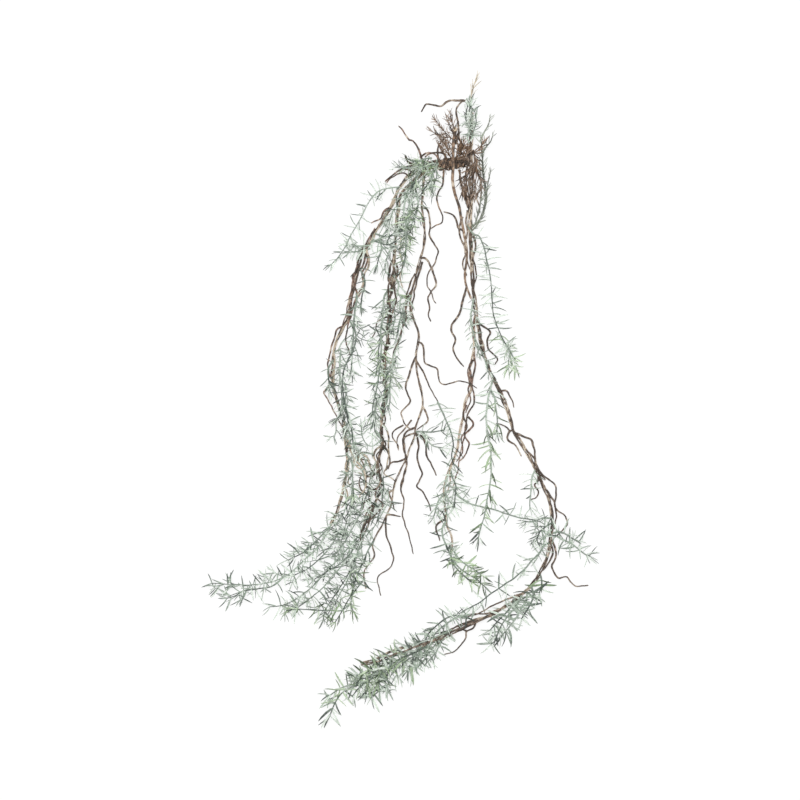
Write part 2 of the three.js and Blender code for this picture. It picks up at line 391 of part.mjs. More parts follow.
// Solids joined into one body. Hollows sealed among them are filled and loose scraps are dropped.
function fuse(solids) {
  const bodies = solids.reduce((whole, piece) => whole.add(piece)).decompose();
  return bodies.reduce((largest, body) => (body.volume() > largest.volume() ? body : largest));
}

function meshOf(name, solid, material) {
  const { vertProperties, triVerts } = solid.getMesh();
  const geometry = new THREE.BufferGeometry();
  geometry.setAttribute("position", new THREE.BufferAttribute(new Float32Array(vertProperties), 3));
  geometry.setIndex(new THREE.BufferAttribute(new Uint32Array(triVerts), 1));
  geometry.computeVertexNormals();
  const mesh = new THREE.Mesh(geometry, material);
  mesh.name = name;
  return mesh;
}

// A closed tube of a few sides that follows a curve and tapers from root to tip.
function taperedTube(owner, curve, radius, sides, stepLength) {
  const steps = Math.max(3, Math.round(curve.getLength() / stepLength));
  const frames = curve.computeFrenetFrames(steps, false);
  const positions = [];
  const index = [];
  let previous = null;
  for (let ring = 0; ring <= steps; ring++) {
    const centre = curve.getPointAt(ring / steps);
    const size = THREE.MathUtils.lerp(radius.root, radius.tip, ring / steps);
    for (let side = 0; side < sides; side++) {
      const angle = (side / sides) * 2 * Math.PI;
      const point = centre
        .clone()
        .addScaledVector(frames.normals[ring], size * Math.cos(angle))
        .addScaledVector(frames.binormals[ring], size * Math.sin(angle));
      positions.push(point.x, point.y, point.z);
    }
    if (previous) {
      capsules.push({ owner, start: previous, end: centre, radius: size });
    }
    previous = centre;
  }
  for (let ring = 0; ring < steps; ring++) {
    for (let side = 0; side < sides; side++) {
      const a = ring * sides + side;
      const b = ring * sides + ((side + 1) % sides);
      index.push(a, b, b + sides, a, b + sides, a + sides);
    }
  }
  const last = steps * sides;
  for (let side = 1; side < sides - 1; side++) {
    index.push(0, side + 1, side, last, last + side, last + side + 1);
  }
  const geometry = new THREE.BufferGeometry();
  geometry.setAttribute("position", new THREE.Float32BufferAttribute(positions, 3));
  geometry.setIndex(index);
  return solidOf(geometry);
}

// The nearest point on a piece's tubes, with the tube's direction and radius there.
function nearestOn(owner, point) {
  let best = null;
  for (const capsule of capsules) {
    if (capsule.owner !== owner) continue;
    const line = new THREE.Line3(capsule.start, capsule.end);
    const foot = line.closestPointToPoint(point, true, new THREE.Vector3());
    const distance = foot.distanceTo(point);
    if (!best || distance < best.distance) {
      best = { distance, foot, along: line.delta(new THREE.Vector3()).normalize(), radius: capsule.radius };
    }
  }
  return best;
}

// Where a tube of the given radius starts so that it sits on its carrier, on the side that it leaves by.
function seatOn(carrier, guess, towards, radius) {
  const { foot, along, radius: carrierRadius } = nearestOn(carrier, guess);
  const leaving = towards.clone().sub(foot).normalize();
  const away = leaving.clone().addScaledVector(along, -leaving.dot(along)).normalize();
  const tilt = Math.sin(leaving.angleTo(away));
  return foot.addScaledVector(away, SEAT_FACET * (carrierRadius + radius * tilt) + SEAT_GAP);
}

// The shortest distance between two line segments.
function segmentDistance(a, b, c, d) {
  const u = b.clone().sub(a);
  const v = d.clone().sub(c);
  const w = a.clone().sub(c);
  const uu = u.dot(u);
  const uv = u.dot(v);
  const vv = v.dot(v);
  const uw = u.dot(w);
  const vw = v.dot(w);
  const cross = uu * vv - uv * uv;
  let s = cross > 1e-9 ? THREE.MathUtils.clamp((uv * vw - vv * uw) / cross, 0, 1) : 0;
  const t = THREE.MathUtils.clamp((uv * s + vw) / vv, 0, 1);
  s = THREE.MathUtils.clamp((uv * t - uw) / uu, 0, 1);
  return a.clone().addScaledVector(u, s).distanceTo(c.clone().addScaledVector(v, t));
}

// Whether a needle keeps clear of the surface below, of other pieces, and of the rest of its own shoot.
function isClear(owner, whorl, base, tip) {
  if (tip.z < FLOOR_CLEARANCE) return false;
  const outer = base.clone().lerp(tip, 0.4);
  return capsules.every((capsule) => {
    if (capsule.whorl === whorl) return true;
    const start = capsule.owner === owner && !capsule.whorl ? outer : base;
    const room = NEEDLE_RADIUS + capsule.radius + (capsule.owner === owner ? 0 : NEEDLE_CLEARANCE);
    return segmentDistance(start, tip, capsule.start, capsule.end) > room;
  });
}

// The tip of a needle that grows from one side of a shoot, or null where there is no room for it.
function needleTip(shoot, whorl, base, frame, heading, random) {
  const reach = shoot.needle * (0.88 + 0.24 * random());
  const spread = shoot.spread ?? THREE.MathUtils.lerp(NEEDLE_SPREAD.low, NEEDLE_SPREAD.high, random());
  const sway = NEEDLE_SWAY * (2 * random() - 1);
  for (const shrink of NEEDLE_SHRINK) {
    for (const turn of NEEDLE_TURNS) {
      const side = frame.around(heading + sway + turn, 1);
      const direction = frame.tangent.clone().multiplyScalar(Math.cos(spread));
      direction.addScaledVector(side, Math.sin(spread));
      const tip = base.clone().addScaledVector(direction, reach * shrink);
      if (isClear(shoot.name, whorl, base, tip)) {
        capsules.push({ owner: shoot.name, whorl, start: base, end: tip, radius: NEEDLE_RADIUS });
        return tip;
      }
    }
  }
  return null;
}

// The middle, direction and cross-section axes of a curve at a share of its length.
function frameAt(curve, frames, share) {
  const step = Math.round(share * (frames.tangents.length - 1));
  const centre = curve.getPointAt(share);
  const normal = frames.normals[step];
  const binormal = frames.binormals[step];
  const around = (angle, size) =>
    normal.clone().multiplyScalar(size * Math.cos(angle)).addScaledVector(binormal, size * Math.sin(angle));
  return { centre, tangent: frames.tangents[step], around };
}

// A slim stalk with whorls of needles. Each needle is a spike that grows out of one side of the stalk.
function leafyStalk(shoot, curve, random) {
  const length = curve.getLength();
  const frames = curve.computeFrenetFrames(200, false);
  const count = Math.max(2, Math.round((length - SHOOT_BARE) / shoot.spacing));
  const pitch = (length - SHOOT_BARE) / count;
  const stations = [{ along: 0, roll: 0 }];
  for (let whorl = 0; whorl < count; whorl++) {
    const along = SHOOT_BARE + pitch * (whorl + 0.35 + 0.3 * random());
    const roll = (whorl + 1) * WHORL_TWIST;
    stations.push({ along: along - NEEDLE_BASE / 2, roll, needles: true });
    stations.push({ along: along + NEEDLE_BASE / 2, roll });
  }
  stations.push({ along: length, roll: (count + 1) * WHORL_TWIST });

  const positions = [];
  const index = [];
  const push = (point) => positions.push(point.x, point.y, point.z) / 3 - 1;
  for (const { along, roll } of stations) {
    const frame = frameAt(curve, frames, along / length);
    const size = THREE.MathUtils.lerp(SHOOT_RADIUS.root, SHOOT_RADIUS.tip, along / length);
    for (let side = 0; side < SHOOT_SIDES; side++) {
      push(frame.centre.clone().add(frame.around(roll + (side / SHOOT_SIDES) * 2 * Math.PI, size)));
    }
  }
  stations.slice(0, -1).forEach(({ along, roll, needles }, ring) => {
    const base = frameAt(curve, frames, (along + NEEDLE_BASE / 2) / length);
    const whorl = {};
    for (let side = 0; side < SHOOT_SIDES; side++) {
      const a = ring * SHOOT_SIDES + side;
      const b = ring * SHOOT_SIDES + ((side + 1) % SHOOT_SIDES);
      const heading = roll + ((side + 0.5) / SHOOT_SIDES) * 2 * Math.PI;
      const tip = needles ? needleTip(shoot, whorl, base.centre, base, heading, random) : null;
      if (tip) {
        const t = push(tip);
        index.push(a, b, t, b, b + SHOOT_SIDES, t);
        index.push(b + SHOOT_SIDES, a + SHOOT_SIDES, t, a + SHOOT_SIDES, a, t);
      } else {
        index.push(a, b, b + SHOOT_SIDES, a, b + SHOOT_SIDES, a + SHOOT_SIDES);
      }
    }
  });
  const last = (stations.length - 1) * SHOOT_SIDES;
  const end = frameAt(curve, frames, 1);
  const endTip = push(end.centre.clone().addScaledVector(end.tangent, shoot.needle * 0.8));
  index.push(0, 2, 1);
  for (let side = 0; side < SHOOT_SIDES; side++) {
    index.push(last + side, last + ((side + 1) % SHOOT_SIDES), endTip);
  }
  const geometry = new THREE.BufferGeometry();
  geometry.setAttribute("position", new THREE.Float32BufferAttribute(positions, 3));
  geometry.setIndex(index);
  return solidOf(geometry);
}

// The surface that the sprig lies on, which flattens the low points of the strands.
function restSurface() {
  const slab = new THREE.BoxGeometry(1000, 1000, 20);
  slab.translate(0, 0, -10);
  return solidOf(slab);
}

// The tangle of roots that binds the strands together: a core with roots wound round it.
function bindingKnot() {
  const owner = "binding_knot";
  const axis = curveThrough(KNOT_AXIS.map(vector));
  const core = { root: KNOT.coreRadius, tip: KNOT.coreRadius };
  const pieces = [taperedTube(owner, axis, core, 7, 15)];
  for (let wrap = 0; wrap < KNOT.wraps; wrap++) {
    const points = [];
    const steps = Math.round(KNOT.turns * 8);
    for (let step = 0; step <= steps; step++) {
      const along = THREE.MathUtils.lerp(0.06, 0.94, step / steps);
      const angle = (wrap / KNOT.wraps + (KNOT.turns * step) / steps) * 2 * Math.PI;
      const lift = new THREE.Vector3(0, Math.cos(angle), Math.sin(angle)).multiplyScalar(KNOT.wrapRadius);
      points.push(axis.getPointAt(along).add(lift));
    }
    const size = { root: KNOT.wrapThickness, tip: KNOT.wrapThickness };
    pieces.push(taperedTube(owner, curveThrough(points), size, ROOT_SIDES, 7));
  }
  for (const route of KNOT_ROOTS) {
    pieces.push(taperedTube(owner, curveThrough(route.map(vector)), ROOT_RADIUS, ROOT_SIDES, ROOT_STEP));
  }
  return meshOf(owner, fuse(pieces).subtract(restSurface()), darkBark);
}

function strandMesh(strand) {
  const points = strand.route.map(vector);
  if (strand.carrier) {
    points[0] = seatOn(strand.carrier, points[0], points[1], strand.radius.root);
  }
  const pieces = [taperedTube(strand.name, curveThrough(points), strand.radius, STEM_SIDES, STEM_STEP)];
  for (const route of strand.roots) {
    const curve = curveThrough(route.map(vector));
    pieces.push(taperedTube(strand.name, curve, ROOT_RADIUS, ROOT_SIDES, ROOT_STEP));
  }
  return meshOf(strand.name, fuse(pieces).subtract(restSurface()), strand.material);
}

// The curves of a shoot and its forks. Their capsules keep the needles of all shoots off the stalks.
function shootCurves(shoot) {
  const points = shoot.route.map(vector);
  points[0] = seatOn(shoot.carrier, points[0], points[1], SHOOT_RADIUS.root);
  const curves = [points, ...(shoot.forks ?? []).map((fork) => fork.map(vector))].map(curveThrough);
  for (const curve of curves) {
    const stops = curve.getSpacedPoints(Math.round(curve.getLength() / 6));
    const tip = stops[stops.length - 1].clone().addScaledVector(curve.getTangentAt(1), shoot.needle * 0.8);
    [...stops.slice(1), tip].forEach((end, step) => {
      capsules.push({ owner: shoot.name, start: stops[step], end, radius: SHOOT_RADIUS.root });
    });
  }
  return curves;
}

const sprig = new THREE.Group();
sprig.add(bindingKnot());
for (const strand of STRANDS) {
  sprig.add(strandMesh(strand));
}
const curves = SHOOTS.map(shootCurves);
SHOOTS.forEach((shoot, order) => {
  const random = seeded(order + 1);
  const stalks = curves[order].map((curve) => leafyStalk(shoot, curve, random));
  sprig.add(meshOf(shoot.name, fuse(stalks), shoot.material));
});

export default sprig;
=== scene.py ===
"""Finished looks for a cut sprig of asparagus fern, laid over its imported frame."""

import math
import random

import bpy
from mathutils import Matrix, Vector, noise


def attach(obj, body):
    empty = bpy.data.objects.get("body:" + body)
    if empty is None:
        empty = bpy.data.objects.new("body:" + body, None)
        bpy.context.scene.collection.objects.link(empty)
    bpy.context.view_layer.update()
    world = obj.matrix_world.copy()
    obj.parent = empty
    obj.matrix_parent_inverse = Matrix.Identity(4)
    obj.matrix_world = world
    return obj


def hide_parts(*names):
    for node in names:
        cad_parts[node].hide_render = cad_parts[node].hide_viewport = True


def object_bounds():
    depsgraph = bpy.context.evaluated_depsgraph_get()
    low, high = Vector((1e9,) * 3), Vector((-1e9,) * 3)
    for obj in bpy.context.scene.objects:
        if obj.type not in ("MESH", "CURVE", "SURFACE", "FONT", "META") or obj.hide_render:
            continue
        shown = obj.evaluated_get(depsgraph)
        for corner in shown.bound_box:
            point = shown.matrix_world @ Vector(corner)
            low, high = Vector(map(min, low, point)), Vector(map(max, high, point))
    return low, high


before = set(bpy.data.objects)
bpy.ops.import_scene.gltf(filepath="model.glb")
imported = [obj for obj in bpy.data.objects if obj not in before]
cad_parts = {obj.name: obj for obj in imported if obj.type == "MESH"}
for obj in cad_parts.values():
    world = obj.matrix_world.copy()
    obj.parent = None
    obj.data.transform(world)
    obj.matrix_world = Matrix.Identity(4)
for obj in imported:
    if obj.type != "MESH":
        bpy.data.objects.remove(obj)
cad_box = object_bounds()

bl_info = {
    "name": "Asparagus Fern Sprig",
    "version": (1, 0, 0),
    "blender": (4, 5, 0),
    "location": "View3D > Sidebar > Fern Sprig",
    "description": "Builds the strands, roots, leafy shoots and stage of an asparagus fern sprig",
    "category": "Object",
}

BODY = "root"
FULL_TURN = 2 * math.pi
MILLIMETRE = 0.001
WHITE = (1.0, 1.0, 1.0, 1.0)
WHOLE = (0.0, 1.0)

# Smooth lines: fewest stretches, how much finer they are first drawn, and shortest stretch in metres
FEWEST_STRETCHES = 3
FINENESS = 2
SHORTEST_STRETCH = 1e-9

# Distance between the rings of a tube, in metres
TWIG_STEP = 0.0025
ROOT_STEP = 0.002
STALK_STEP = 0.0025
KNOT_STEP = 0.0012
FIBRE_STEP = 0.0015

# Sides of a tube
STEM_SIDES = 12
TWIG_SIDES = 8
ROOT_SIDES = 6
STALK_SIDES = 6
FIBRE_SIDES = 5

# Unevenness of a tube, as a share of its thickness
STEM_LUMPS = 0.16
TWIG_LUMPS = 0.3
ROOT_LUMPS = 0.35
STALK_LUMPS = 0.2
FIBRE_LUMPS = 0.2

# Lumps of a tube: how fast they change along it, by the metre, and round it
LUMPS_ALONG = 260
LUMPS_ROUND = 1.3

# Length of a tube's pointed end, in radii of that end
POINT_LENGTH = 2

# Angle between two faces from which their edge is sharp
SHARP_EDGE = math.radians(50)

# Where in the noise a piece may lie, for its wiggles and for its lumps
WIGGLE_SEEDS = (0, 90)
LUMP_SEEDS = (0, 50)

# Wiggles of a line: how far they stray and how far apart they are, in metres
STRAND_WIGGLE = (0.0008, 0.014)
STALK_WIGGLE = (0.0007, 0.012)
FIBRE_WIGGLE = (0.0008, 0.005)
ROOT_WAVE = 0.009

# Wiggles: how many of them pass before they are full, and their height as a share
WIGGLE_ONSET = 2
WIGGLE_HEIGHT = 0.5

# Slices of the noise that move a wiggling line along X, Y and Z
WIGGLE_SLICES = (0.5, 20.5, 40.5)

# Sections of a needle: share of its length, then share of its width
NEEDLE_SECTIONS = ((0.0, 0.45), (0.14, 0.86), (0.42, 1.0), (0.74, 0.82), (0.92, 0.4))

# A needle's section: its corners, and the depth of its channel and its keel as shares of half its width
NEEDLE_SIDES = 4
NEEDLE_CHANNEL = 0.12
NEEDLE_KEEL = 0.8

# Lean of the needles along a stalk and at its tip, turn from whorl to whorl, stray in a whorl, in radians
NEEDLE_SPREAD = (0.8, 1.9)
TIP_SPREAD = (0.35, 1.2)
WHORL_TWIST = 1.05
WHORL_STRAY = 0.5

# Needles in a whorl, one of these at a time, and in the tuft at a stalk's tip
WHORL_COUNTS = (1, 1, 2, 2, 3)
TUFT_COUNT = 3

# Shares of a needle's usual length, of that in the tuft, of its width, of its curl and of its rise
NEEDLE_LENGTHS = (0.65, 1.15)
TUFT_LENGTHS = (0.55, 0.9)
NEEDLE_WIDTHS = (0.75, 1.15)
NEEDLE_CURLS = (-0.6, 1.0)
NEEDLE_FLATNESS = 0.55

# Shares of the usual distance between whorls, and stretch where they close up, in needle lengths
WHORL_GAPS = (0.6, 1.4)
CLOSING_STRETCH = 1.5

# Lowest tip of a needle in metres, and the length under which a direction is too short to follow
NEEDLE_LOWEST = 0.0008
SHORT_DIRECTION = 0.05

# Leafy stalks: half thickness at foot and tip in metres, tones, bare foot in metres and its shares
STALK_RADIUS = (0.0012, 0.0007)
STALK_TONES = (0.05, 0.6)
BARE_STALK = 0.003
BARE_SHARES = (0.5, 2.0)

# Raggedness of the ends of fresh growth, as a share of the stalk
FRESH_EDGE = 0.1

# Side twigs of a stalk: distance apart, length, lean in radians, half thickness, lowest end, in metres
SIDE_TWIG_GAP = (0.014, 0.03)
SIDE_TWIG_REACH = (0.009, 0.02)
SIDE_TWIG_LEAN = (0.55, 1.1)
SIDE_TWIG_RADIUS = (0.0006, 0.00045)
SIDE_TWIG_LOWEST = 0.004

# Side twigs shorten over this last stretch of a stalk, in metres, down to this share of their length
SIDE_TWIG_TAPER = 0.05
SIDE_TWIG_LEAST = 0.3

# Side twigs: bow as a share of their length, share of their rise that is kept, and length of their needles
SIDE_TWIG_BOW = 0.15
SIDE_TWIG_RISE = 0.3
SIDE_TWIG_NEEDLE = 0.85

# Twigs of a strand, as shares of its thickness, and the stray of their start round it, in radians
TWIG_SIZES = (0.52, 0.42, 0.46, 0.38)
TWIG_STRAY = 0.3

# Traits of a wound twig: changes in each metre, slice of the noise, and strength
TWIG_SWAY = (22, 0, 1.2)
TWIG_DISTANCE = (30, 5, 0.6)
TWIG_SWELL = (140, 7, 0.2)
TWIG_KNUCKLE = (45, 11, 0.9)

# Usual distance of a twig from its strand's middle in radii, and the noise from which a knuckle swells
TWIG_APART = 0.85
KNUCKLE_FROM = 0.2

# Wiry roots: shares of their usual width, and the share of it that is left at the tip
ROOT_WIDTHS = (0.85, 1.1)
ROOT_TAPER = 0.55

# Tones of the wiry roots: fresh ones, weathered ones, and those beside the main stem
ROOT_TONES = ((0.0, 0.4), (0.4, 0.9), (0.0, 0.4))

# Roots beside the main stem: their finish, and their share of the thickness of other roots
STEM_ROOT_COAT = 2
STEM_ROOT_SHARE = 1.15

# Main stem: swellings by the metre and their size, flare of the cut end, tone, place in the noise
STEM_SWELLINGS = 90
STEM_SWELL = 0.12
STEM_FLARE = 1.06
STEM_TONE = 0.5
STEM_SEED = 4.0

# Slant of the stem's cut end: how far it runs along the stem for each step up
CUT_SLANT = 1.3

# Cut end: its finish, shares of its width where its rings lie, height of rings and of middle in metres
CUT_COAT = 1
CUT_RINGS = (0.7, 0.35)
CUT_RING_HEIGHT = 0.0002
CUT_MIDDLE_HEIGHT = 0.0003

# Root knot: half its thickness in metres, its height as a share of that, and its tones
KNOT_RADIUS = 0.0078
KNOT_FLATNESS = 0.85
KNOT_TONES = (0.0, 0.5)

# Roots wound round the knot: how many, turns of each, half a root's thickness in metres, unevenness
KNOT_WRAPS = 18
KNOT_TURNS = (1.2, 3.4)
KNOT_ROOT_RADIUS = (0.0006, 0.0013)
KNOT_ROOT_LUMPS = 0.3

# Wound roots: distance of the innermost as a share of the outermost, and slimness at the ends of the knot
KNOT_INNERMOST = 0.35
KNOT_WAIST = 0.72

# Wound roots: looseness, bends along the knot, slice of the noise, swellings by the metre and their size
KNOT_LOOSENESS = 0.25
KNOT_BENDS = 7
KNOT_SLICE = 3
KNOT_SWELLINGS = 300
KNOT_SWELL = 0.25

# Loose fibres of the knot: how many, rings at each end that have none, length and half thickness in metres
KNOT_FIBRES = 40
FIBRE_FREE_RINGS = 3
FIBRE_REACH = (0.008, 0.016)
FIBRE_RADIUS = (0.0005, 0.00022)

# Loose fibres: lean along the knot, share of the length where they bow, rise of the bow, its size in metres
FIBRE_LEAN = 0.35
FIBRE_BOW_AT = 0.55
FIBRE_BOW_RISE = 0.3
FIBRE_BOW = 0.004

# Cloudy noise of the finishes: features by the metre, and levels of detail
DUST_GRAIN = (420, 4)
GREYING_GRAIN = (60, 2)
NEEDLE_RELIEF = (1600, 3)
CRACK_GRAIN = (170, 7)
PATCH_GRAIN = (26, 2)
SPECK_GRAIN = (900, 2)
BARK_RELIEF = (520, 6)
WOOD_GRAIN = (800, 4)

# Range that most of the cloudy noise lies in
NOISE_RANGE = (0.3, 0.7)

# Depth of the relief in metres, its strength, and the sheen of every finish
NEEDLE_DEPTH = 0.00012
BARK_DEPTH = 0.0004
WOOD_DEPTH = 0.0002
RELIEF_STRENGTH = 0.6
SHEEN = 0.3

# Needle tones: where shade, middle and bloom lie, place of the middle between the two, and how vivid it is
TONE_STOPS = (0.0, 0.5, 1.0)
MIDDLE_SHARE = 0.45
VIVID_MIDDLE = 1.6

# Needle tones: change by dust, and along the blade towards its tip
DUST_TONES = (-0.18, 0.18)
BLADE_SPAN = (0.35, 1.0)
BLADE_TONES = (0.08, -0.3)

# Greyed needles: noise at which they start and are full, and how much of their colour they lose
GREY_RANGE = (0.42, 0.62)
GREYNESS = 0.35

# Vivid foot of a needle: its stretch of the blade, and how vivid it is at each end of that
FOOT_SPAN = (0.0, 0.3)
FOOT_SHARES = (0.55, 0.0)

# Bark: where hollows, main colour and ridges lie in the cracks, and change of that by twig and by patch. The
# dark hollows are dark bark with painted shade, and the tan ridges are worn bark with a painted highlight.
BARK_STOPS = (0.36, 0.5, 0.66)
TWIG_TONES = (-0.14, 0.14)
PATCH_RANGE = (0.35, 0.7)
PATCH_TONES = (-0.07, 0.07)

# Pale specks on the bark: noise at which they start and are full, and how strong they are
SPECK_RANGE = (0.62, 0.72)
SPECK_SHARES = (0.0, 0.5)

# Cut wood: width of a growth ring as a share of the cut, how strong rings are, and where its two colours lie
RING_WIDTH = 0.14
RING_SHARES = (0.0, 0.5)
WOOD_STOPS = (0.2, 0.6)

# Roughness, from low to high in the noise
NEEDLE_ROUGHNESS = (0.45, 0.68)
BARK_ROUGHNESS = (0.85, 0.6)
WOOD_ROUGHNESS = (0.7, 0.9)

# Floor: half its width and its drop below the sprig in metres, roughness and sheen
FLOOR_REACH = 8.0
FLOOR_DROP = 0.0004
FLOOR_ROUGHNESS = 0.95
FLOOR_SHEEN = 0.1

# Soft lights: width in metres, then each one's place and its share of the power
PANEL_WIDTH = 2.0
PANELS = {
    "soft_panel_above": ((-0.5, 0.6, 3.1), 1.0),
    "soft_panel_side": ((2.0, -1.2, 2.2), 0.3),
}

# Camera: height at which the width of its frame is measured, and its furthest view, in metres
SPRIG_HEIGHT = 0.01
FURTHEST_VIEW = 50.0

# A usual leafy shoot: shares of spread, width and stalk, dimness, span of fresh growth, and side twigs
USUAL_SHOOT = {"spread": 1.0, "width": 1.0, "stalk": 1.0, "dimness": 0.72, "fresh": None, "side_twigs": True}

# Middle line of the root knot, and the loose roots that hang from it. All routes are in millimetres.
KNOT_AXIS = [(83.2, 286, 5.8), (68, 285, 5.8), (53, 283.5, 5.8), (38, 282, 5.8)]
KNOT_ROOTS = [
    [(52, 281, 4), (52.5, 272, 4), (51, 260, 5), (46, 248, 6), (44, 239, 7), (47.5, 229, 8),
     (51.5, 220, 9), (49.5, 213, 10), (43, 209, 11), (38, 206, 11.5)],
    [(46, 287, 9), (45, 297, 13), (48, 306, 15), (52, 313, 15)],
    [(56, 289, 9), (52, 296, 11), (44, 296.5, 11), (36, 295, 11), (30, 291.5, 10.5)],
]

# Main stem: half its thickness at the cut end and at its tip, its route, and the thin twigs beside it
MAIN_STEM = {
    "radius": (2, 1.3),
    "route": [
        (66, 324, 19.5), (64, 308, 19), (63.5, 292, 16.9), (63.5, 277, 16.9), (63, 262, 15),
        (66, 247, 11), (71, 232, 8), (74, 215, 6.5), (77, 200, 5.5), (80, 182, 5), (80, 168, 4.5),
        (78, 152, 4), (79, 140, 4), (82.3, 130, 4.3), (85.1, 123, 4.6),
    ],
    "roots": [
        [(66, 306, 16), (69.5, 316, 17), (70, 327, 17), (68, 338, 17.5), (67.5, 347, 18), (71, 355, 18.5),
         (78, 358, 18)],
        [(77, 358, 18), (66, 358.3, 19), (57, 357.2, 19), (48, 352, 18), (40, 352.5, 17), (31, 354.5, 16),
         (26, 346, 15)],
        [(75.5, 204, 5.8), (70, 207, 7), (68, 215, 8), (63, 222, 8), (54, 225.5, 7)],
        [(80, 135, 4.2), (76, 122, 5), (73, 108, 5), (69, 99, 5), (63, 90, 5), (62, 82, 5), (66.5, 73, 5),
         (64, 62, 5), (67, 53, 5), (76, 41, 4)],
    ],
}

